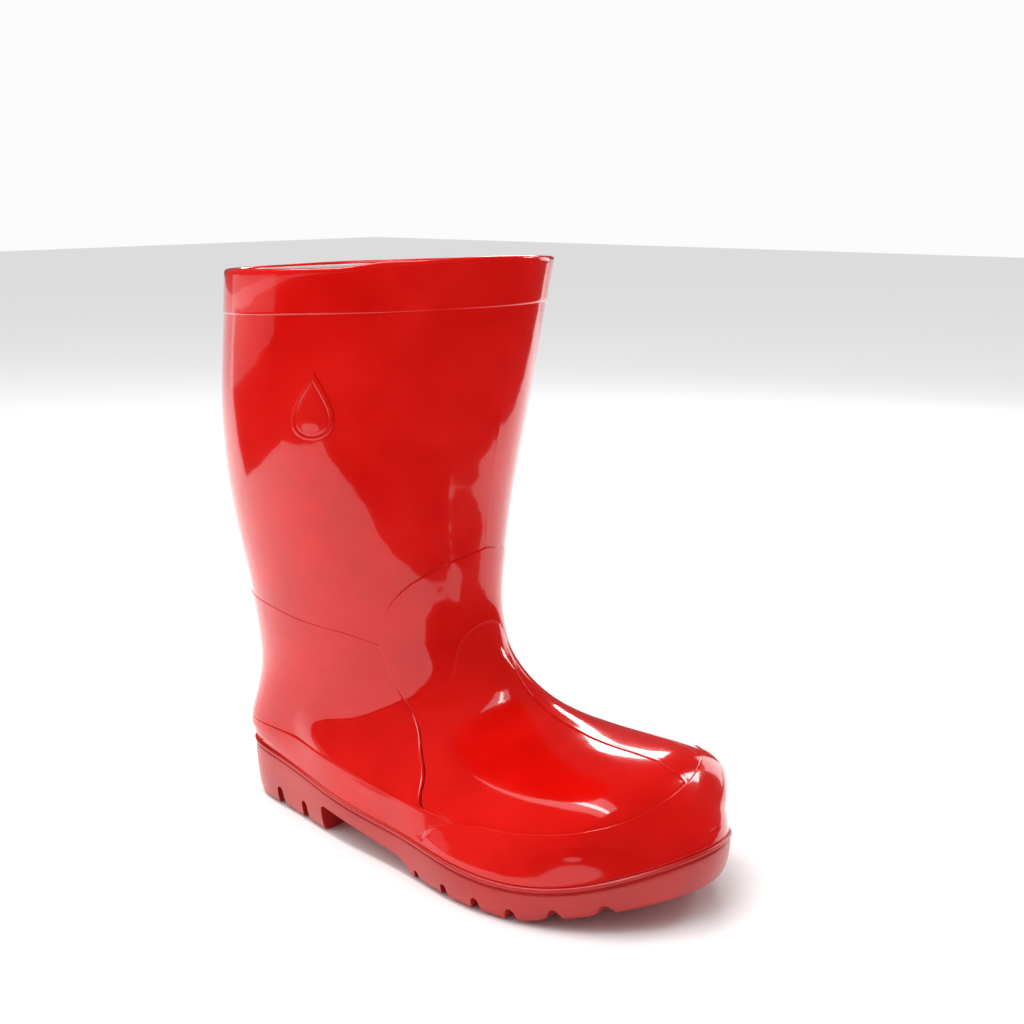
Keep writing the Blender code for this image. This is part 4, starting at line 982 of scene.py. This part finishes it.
b_edge = (1 - radii) * 9.0
b_lift = .75 * rounded(b_edge, .7) - .34 * np.exp(-((radii - .78) / .035) ** 2) + .25 * smoothstep(.70 - radii, 0, .6)
b_lift[0] = -.3
badge_u, badge_v = BADGE_AT[0] + bdu, BADGE_AT[1] + bdv
b_l = np.broadcast_to(b_lift[:, None], badge_u.shape)
badge = closed_shell("raindrop_badge", at(badge_u, badge_v, b_l), at(badge_u, badge_v, b_l * 0 - .6), ring=True, pole_last=True)
finish_piece(badge, BADGE_RED, "badge")

# ------------------------------------------------------------------- lining
sock_u = np.concatenate([np.array([.035, .045, .07, .11, .16]), np.linspace(.25, 13.6, 150)])
sock_cols = 360
sock_v = np.linspace(0, 2, sock_cols, endpoint=False)
base_lift = -(WALL + .35) - .6 - .35 - .15
drop = np.interp(sock_u, [3.6, 5.8, 6.8, 8.5, 9.4, 11.0, 12.8, 13.6], [0, .1, .7, .8, 1.5, 1.2, 1.2, 2.0])
s_in = base_lift - drop
top_fold = np.array([-.5, -.12, .05, .12, .1])
gather = .10 * np.sin(sock_v * math.pi * 90) * 0
sock_lift = s_in[:, None] + 0 * sock_v[None] + (.9 * (1 - smoothstep(sock_u, .2, 1.2)))[:, None]
sock_lift[:5] += top_fold[:, None]
sock_thick = np.full(len(sock_u), LINING)
sock_thick[:5] = [.15, .6, .95, 1.1, 1.05]
sock_uu = np.broadcast_to(sock_u[:, None], (len(sock_u), sock_cols))
sock_vv = np.broadcast_to(sock_v[None], sock_uu.shape)
so = spot(sock_uu, sock_vv) + normal_at(sock_uu, sock_vv) * sock_lift[..., None]
si = spot(sock_uu, sock_vv) + normal_at(sock_uu, sock_vv) * (sock_lift - sock_thick[:, None])[..., None]
for sheet in (so, si):
    sheet[..., 2] += rim_wave(sock_vv, sock_uu)
pole_o = spot(14.0, 1.0) + np.array([0, 1, 0]) * (s_in[-1] - 2.0)
pole_i = pole_o - np.array([0, LINING, 0])
so = np.concatenate([so, np.broadcast_to(pole_o, (1, sock_cols, 3))])
si = np.concatenate([si, np.broadcast_to(pole_i, (1, sock_cols, 3))])
run = np.concatenate([[0], np.cumsum(np.linalg.norm(np.diff(so[:, 0], axis=0), axis=1))]) / 100
uv = np.stack([np.broadcast_to(sock_v[None] * 1.0, so.shape[:2]), np.broadcast_to(run[:, None], so.shape[:2])], -1)
lining = closed_shell("knitted_lining", so, si, ring=True, pole_last=True, uv=uv)
finish_piece(lining, KNIT, "knit_lining")

# ------------------------------------------------------------------ footbed
bed_u = np.linspace(7.62, 13.1, 120)
bed_half = np.minimum(sole_turn(bed_u, 8.5), .12 + (bed_u - 7.62) * .4)
fan = np.linspace(-1, 1, 60)
bed_uu = np.broadcast_to(bed_u[:, None], (len(bed_u), 60))
bed_vv = bed_half[:, None] * fan[None]
bed_lift = base_lift - 1.5 - LINING - .35 - .2
edge_drop = .8 * smoothstep(np.abs(fan), .88, 1.0)[None] * np.ones((len(bed_u), 1))
quilt = .12 * np.sin(bed_u[:, None] * 14) * np.sin(fan[None] * 12) * (1 - smoothstep(np.abs(fan), .7, .9))[None]
n_bed = normal_at(bed_uu, bed_vv)
p_bed = spot(bed_uu, bed_vv)
bo = p_bed + n_bed * bed_lift
bi = p_bed + n_bed * (bed_lift - FOOTBED + edge_drop + quilt)[..., None]
buv = np.stack([np.broadcast_to(fan[None] * .4, bo.shape[:2]), np.broadcast_to(bed_u[:, None] * .13, bo.shape[:2])], -1)
footbed = closed_shell("loose_footbed", bo, bi, uv=buv)
finish_piece(footbed, BED_KNIT, "footbed")

# ------------------------------------------------------------------ outsole
SN = 720
ring_o = through(OUTLINE, SN, closed=True)
ring_n = outward(ring_o)


def sole_ring(inset, z_of):
    o = ring_o - ring_n * inset
    return np.column_stack([o, z_of(ring_o[:, 1])])


def mix_z(f, below=0.0):
    """Height a share f of the way from the ground to the sole line."""
    return lambda y: ground(y) * (1 - f) + (sole_z(y) - 3.0) * f + below


rings = [
    sole_ring(8.0, lambda y: sole_z(y) - 1.0),
    sole_ring(2.0, lambda y: sole_z(y) - .2),
    sole_ring(.55, lambda y: sole_z(y) - .05),
    sole_ring(.10, lambda y: sole_z(y) - .12),
    sole_ring(-.35, lambda y: sole_z(y) - .32),
    sole_ring(-.62, lambda y: sole_z(y) - .62),
    sole_ring(-.70, lambda y: sole_z(y) - .95),
    sole_ring(-.60, lambda y: sole_z(y) - 1.30),
    sole_ring(-.30, lambda y: sole_z(y) - 1.58),
    sole_ring(.05, lambda y: sole_z(y) - 1.75),
    sole_ring(.22, lambda y: sole_z(y) - 1.95),
    sole_ring(.10, lambda y: sole_z(y) - 2.25),
    sole_ring(-.12, lambda y: sole_z(y) - 2.6),
    sole_ring(-.20, mix_z(1.0)),
    sole_ring(-.18, mix_z(.86)),
    sole_ring(-.05, mix_z(.70)),
    sole_ring(.18, mix_z(.54)),
    sole_ring(.50, mix_z(.38)),
    sole_ring(.95, mix_z(.24)),
    sole_ring(1.45, mix_z(.13)),
    sole_ring(1.85, mix_z(.07)),
    sole_ring(2.20, mix_z(.035)),
    sole_ring(2.65, mix_z(.012)),
    sole_ring(3.2, mix_z(0)),
]


def lofted(name, loops):
    n = len(loops[0])
    pts = world(np.concatenate(loops))
    faces = []
    for r in range(len(loops) - 1):
        a, b = r * n, (r + 1) * n
        faces += [(a + i, a + (i + 1) % n, b + (i + 1) % n, b + i) for i in range(n)]
    for r in (0, len(loops) - 1):
        o = r * n
        lo, hi = 1, n - 1
        faces.append((o, o + 1, o + n - 1))
        while hi - lo > 2:
            faces.append((o + lo, o + lo + 1, o + hi - 1, o + hi))
            lo, hi = lo + 1, hi - 1
        faces.append((o + lo, o + lo + 1, o + hi))
    bm = bmesh.new()
    vs = [bm.verts.new(p) for p in pts]
    for f in faces:
        bm.faces.new([vs[i] for i in f])
    bmesh.ops.recalc_face_normals(bm, faces=bm.faces)
    mesh = bpy.data.meshes.new(name)
    bm.to_mesh(mesh)
    bm.free()
    obj = bpy.data.objects.new(name, mesh)
    bpy.context.scene.collection.objects.link(obj)
    return obj


outsole = lofted("lugged_outsole", rings)


def prism(bm, profile, x0, x1):
    """A closed prism along x with the given y, z profile, in last-frame mm."""
    a = [bm.verts.new(world(np.array((x0, y, z)))) for y, z in profile]
    b = [bm.verts.new(world(np.array((x1, y, z)))) for y, z in profile]
    n = len(profile)
    bm.faces.new(a)
    bm.faces.new(b[::-1])
    for i in range(n):
        bm.faces.new((a[i], b[i], b[(i + 1) % n], a[(i + 1) % n]))


def groove_profile(y, base, foot, crown, deep, flare):
    """An arch-topped groove, `foot` wide each side at the mouth and `crown` at the top, with rounded mouth edges."""
    pts = [(y - foot - flare - 3, base - 6)]
    for a in np.linspace(0, math.pi / 2, 9):
        pts.append((y - foot - flare + flare * math.sin(a), base + flare * (1 - math.cos(a)) - .02))
    top = deep - crown
    for a in np.linspace(0, math.pi, 13):
        pts.append((y - crown * math.cos(a), base + max(top, flare + .1) + crown * math.sin(a)))
    for a in np.linspace(math.pi / 2, 0, 9):
        pts.append((y + foot + flare - flare * math.sin(a), base + flare * (1 - math.cos(a)) - .02))
    pts.append((y + foot + flare + 3, base - 6))
    clean = [pts[0]]
    for p in pts[1:]:
        if math.hypot(p[0] - clean[-1][0], p[1] - clean[-1][1]) > .02:
            clean.append(p)
    return clean


bm = bmesh.new()
for y, foot, crown, deep, flare in ((112.2, 1.5, 1.3, 3.9, .7), (128.6, 1.9, 1.6, 5.0, 1.1), (144.0, 2.1, 1.7, 5.0, 1.5),
                                    (158.2, 2.1, 1.7, 4.8, 2.1), (173.2, 2.0, 1.5, 4.5, 2.9), (187.8, 1.9, 1.4, 4.2, 2.7)):
    prism(bm, groove_profile(y, float(ground(np.array(y))), foot, crown, deep, flare), -75, 75)
# Side notches of the heel.
for y in (23.2, 41.4):
    for sx in (-1, 1):
        prism(bm, groove_profile(y, 0.0, 2.5, 1.9, 7.9, .45), *sorted((sx * 16.5, sx * 60)))
# The waist: from the heel breast to a rounded shoulder at the first lug.
waist = [(54.4, -8), (54.4, 8.6), (54.7, 9.8), (55.6, 10.6), (57.0, 10.7)]
for t in np.linspace(0, 1, 16)[1:]:
    waist.append((57.0 + (98.5 - 57.0) * t, 10.7 - 4.4 * t ** 1.08))
for a in np.linspace(0, math.pi / 2, 10)[1:]:
    waist.append((98.5 + 9.6 * math.sin(a), 6.3 - 6.8 * (1 - math.cos(a))))
waist += [(108.3, -8)]
prism(bm, waist, -75, 75)
bmesh.ops.recalc_face_normals(bm, faces=bm.faces)
cut_mesh = bpy.data.meshes.new("sole_cutters")
bm.to_mesh(cut_mesh)
bm.free()
cutter = bpy.data.objects.new("sole_cutters", cut_mesh)
bpy.context.scene.collection.objects.link(cutter)
mod = outsole.modifiers.new("Grooves", "BOOLEAN")
mod.operation, mod.solver, mod.object = "DIFFERENCE", "EXACT", cutter
mod.use_self = False
bpy.context.view_layer.update()
deps = bpy.context.evaluated_depsgraph_get()
carved = bpy.data.meshes.new_from_object(outsole.evaluated_get(deps))
outsole.modifiers.clear()
outsole.data = carved
bpy.data.objects.remove(cutter, do_unlink=True)
carved.shade_smooth()
carved.set_sharp_from_angle(angle=math.radians(28))
finish_piece(outsole, SOLE_RED, "outsole")

# ------------------------------------------------------- carried-over pieces
hidden = {
    "insole_board": fibre("pressed_fibre_board", (.52, .40, .27), 300, .85, .0002),
    "heel_stiffener": fibre("stiffened_felt", (.60, .58, .52), 500, .92, .0003),
    "toe_puff": fibre("stiffened_felt_toe", (.60, .58, .52), 500, .92, .0003),
    "heel_filler": fibre("closed_cell_foam_heel", (.20, .20, .20), 700, .85, .0003),
    "forefoot_filler": fibre("closed_cell_foam_forefoot", (.20, .20, .20), 700, .85, .0003),
}
for name, mat in hidden.items():
    obj = frame["nodes"][name]
    obj.data.materials.clear()
    obj.data.materials.append(mat)

# -------------------------------------------------------------------- studio
bpy.ops.mesh.primitive_plane_add(size=1, location=(0, 0, -.0004))
floor = bpy.context.object
floor.name = "studio_floor"
floor.scale = (9, 9, 1)
mat, t, b = nodes_of("pale_floor")
b.inputs["Base Color"].default_value = (.92, .92, .92, 1)
b.inputs["Roughness"].default_value = .85
b.inputs["Specular IOR Level"].default_value = .2
floor.data.materials.append(mat)
floor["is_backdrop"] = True

# The room: plain white where the camera sees past the floor, an even pale fill for diffuse light,
# and dim in the rubber's reflections, so that only the lamps and the white floor show in them.
room = bpy.data.worlds.new("studio")
bpy.context.scene.world = room
room.use_nodes = True
wt = room.node_tree
fill = wt.nodes["Background"]
fill.inputs["Color"].default_value = (1, 1, 1, 1)
fill.inputs["Strength"].default_value = .46
dim = wt.nodes.new("ShaderNodeBackground")
dim.inputs["Color"].default_value = (1, .97, .95, 1)
dim.inputs["Strength"].default_value = .10
seen = wt.nodes.new("ShaderNodeBackground")
seen.inputs["Color"].default_value = (1, 1, 1, 1)
seen.inputs["Strength"].default_value = .97
which = wt.nodes.new("ShaderNodeLightPath")
first = wt.nodes.new("ShaderNodeMixShader")
wt.links.new(which.outputs["Is Glossy Ray"], first.inputs["Fac"])
wt.links.new(fill.outputs[0], first.inputs[1])
wt.links.new(dim.outputs[0], first.inputs[2])
pick = wt.nodes.new("ShaderNodeMixShader")
wt.links.new(which.outputs["Is Camera Ray"], pick.inputs["Fac"])
wt.links.new(first.outputs[0], pick.inputs[1])
wt.links.new(seen.outputs[0], pick.inputs[2])
wt.links.new(pick.outputs[0], wt.nodes["World Output"].inputs["Surface"])


def softbox(name, where, aim, wide, high, radiance, turn=0.0, mirrored=True):
    data = bpy.data.lights.new(name, "AREA")
    data.shape = "RECTANGLE"
    data.size, data.size_y = wide, high
    data.energy = radiance * math.pi * wide * high
    obj = bpy.data.objects.new(name, data)
    bpy.context.scene.collection.objects.link(obj)
    obj.location = where
    facing = (Vector(aim) - Vector(where)).to_track_quat("-Z", "Y")
    obj.rotation_euler = (facing.to_matrix() @ Matrix.Rotation(math.radians(turn), 3, "Z")).to_euler()
    obj.visible_glossy = mirrored
    return obj


def around(azimuth, elevation, distance):
    """A place by its compass angle from +X and its height angle, in metres from the boot."""
    a, e = math.radians(azimuth), math.radians(elevation)
    return (distance * math.cos(a) * math.cos(e), distance * math.sin(a) * math.cos(e), distance * math.sin(e))


softbox("side_left", around(135, 24, 1.25), (0, 0, .10), 1.2, 1.0, 1.1, mirrored=False)
softbox("left_low", around(110, 4, 1.3), (0, 0, .03), .95, .22, .45)
sky_data = bpy.data.lights.new("even_sky", "SUN")
sky_data.energy = 1.15
sky_data.angle = math.radians(70)
sky = bpy.data.objects.new("even_sky", sky_data)
bpy.context.scene.collection.objects.link(sky)
sky.rotation_euler = (math.radians(-6), math.radians(-8), 0)
sky.visible_glossy = False
softbox("strip_core", (-.16, .27, 1.08), (-.03, -.06, .04), 1.25, .07, 17, turn=51)
softbox("strip_glow", (-.16, .27, 1.10), (-.03, -.06, .04), 1.35, .42, 2.2, turn=51)
softbox("back_strip", around(28, 36, 1.25), (0, -.07, .05), .36, .16, 13)
softbox("side_strip", around(338, 35, 1.15), (0, -.09, .04), .16, .22, 11)
softbox("right_edge", around(356, 14, 1.25), (0, 0, .13), .45, .55, 2.4)

# The white floor under the boot shows in reflections only inside straight sides. Past them the reflections see a
# painted dark reflection: a dark sheet, not a real table.
# The dark sheet stands only in reflections: it throws no shadow and the camera doesn't see it.
edge_xy = [(-.1, 1.6), (-.15, .5), (-.4, .4), (-.4, .15), (0, -.2), (.3, -.2), (1.6, .2)]
bm = bmesh.new()
near = [bm.verts.new((x, y, .0006)) for x, y in edge_xy]
away_xy = [(-3 * math.sin(t), 3 * math.cos(t)) for t in np.linspace(.06, math.pi * 1.46, len(edge_xy))]
far = [bm.verts.new((x, y, .0006)) for x, y in away_xy]
for i in range(len(near) - 1):
    bm.faces.new((near[i], near[i + 1], far[i + 1], far[i]))
card_mesh = bpy.data.meshes.new("reflection_only_dark_sheet")
bm.to_mesh(card_mesh)
bm.free()
card = bpy.data.objects.new("reflection_only_dark_sheet", card_mesh)
bpy.context.scene.collection.objects.link(card)
# Painted dark reflection: a near-black material for the sheet that only glossy reflections see.
mat, t, b = nodes_of("reflection_only_dark_sheet_material")
b.inputs["Base Color"].default_value = (.02, .02, .02, 1)
b.inputs["Roughness"].default_value = .9
b.inputs["Specular IOR Level"].default_value = .1
card_mesh.materials.append(mat)
card.visible_camera = False
card.visible_diffuse = False
card.visible_shadow = False
card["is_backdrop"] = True
bpy.context.scene.view_settings.view_transform = "Standard"

eye = world(np.array((-428.4, 480.7, 241.9)))
pitch = math.atan((512 - 178) / 1625)
look = Vector((math.cos(math.radians(40)) * math.cos(pitch), math.sin(math.radians(40)) * math.cos(pitch), -math.sin(pitch)))
cam_data = bpy.data.cameras.new("camera")
cam_data.lens = 1625 / 1024 * 36
cam_data.sensor_width = 36
cam = bpy.data.objects.new("camera", cam_data)
bpy.context.scene.collection.objects.link(cam)
cam.location = Vector(eye)
cam.rotation_euler = look.to_track_quat("-Z", "Y").to_euler()
bpy.context.scene.camera = cam

low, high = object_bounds()
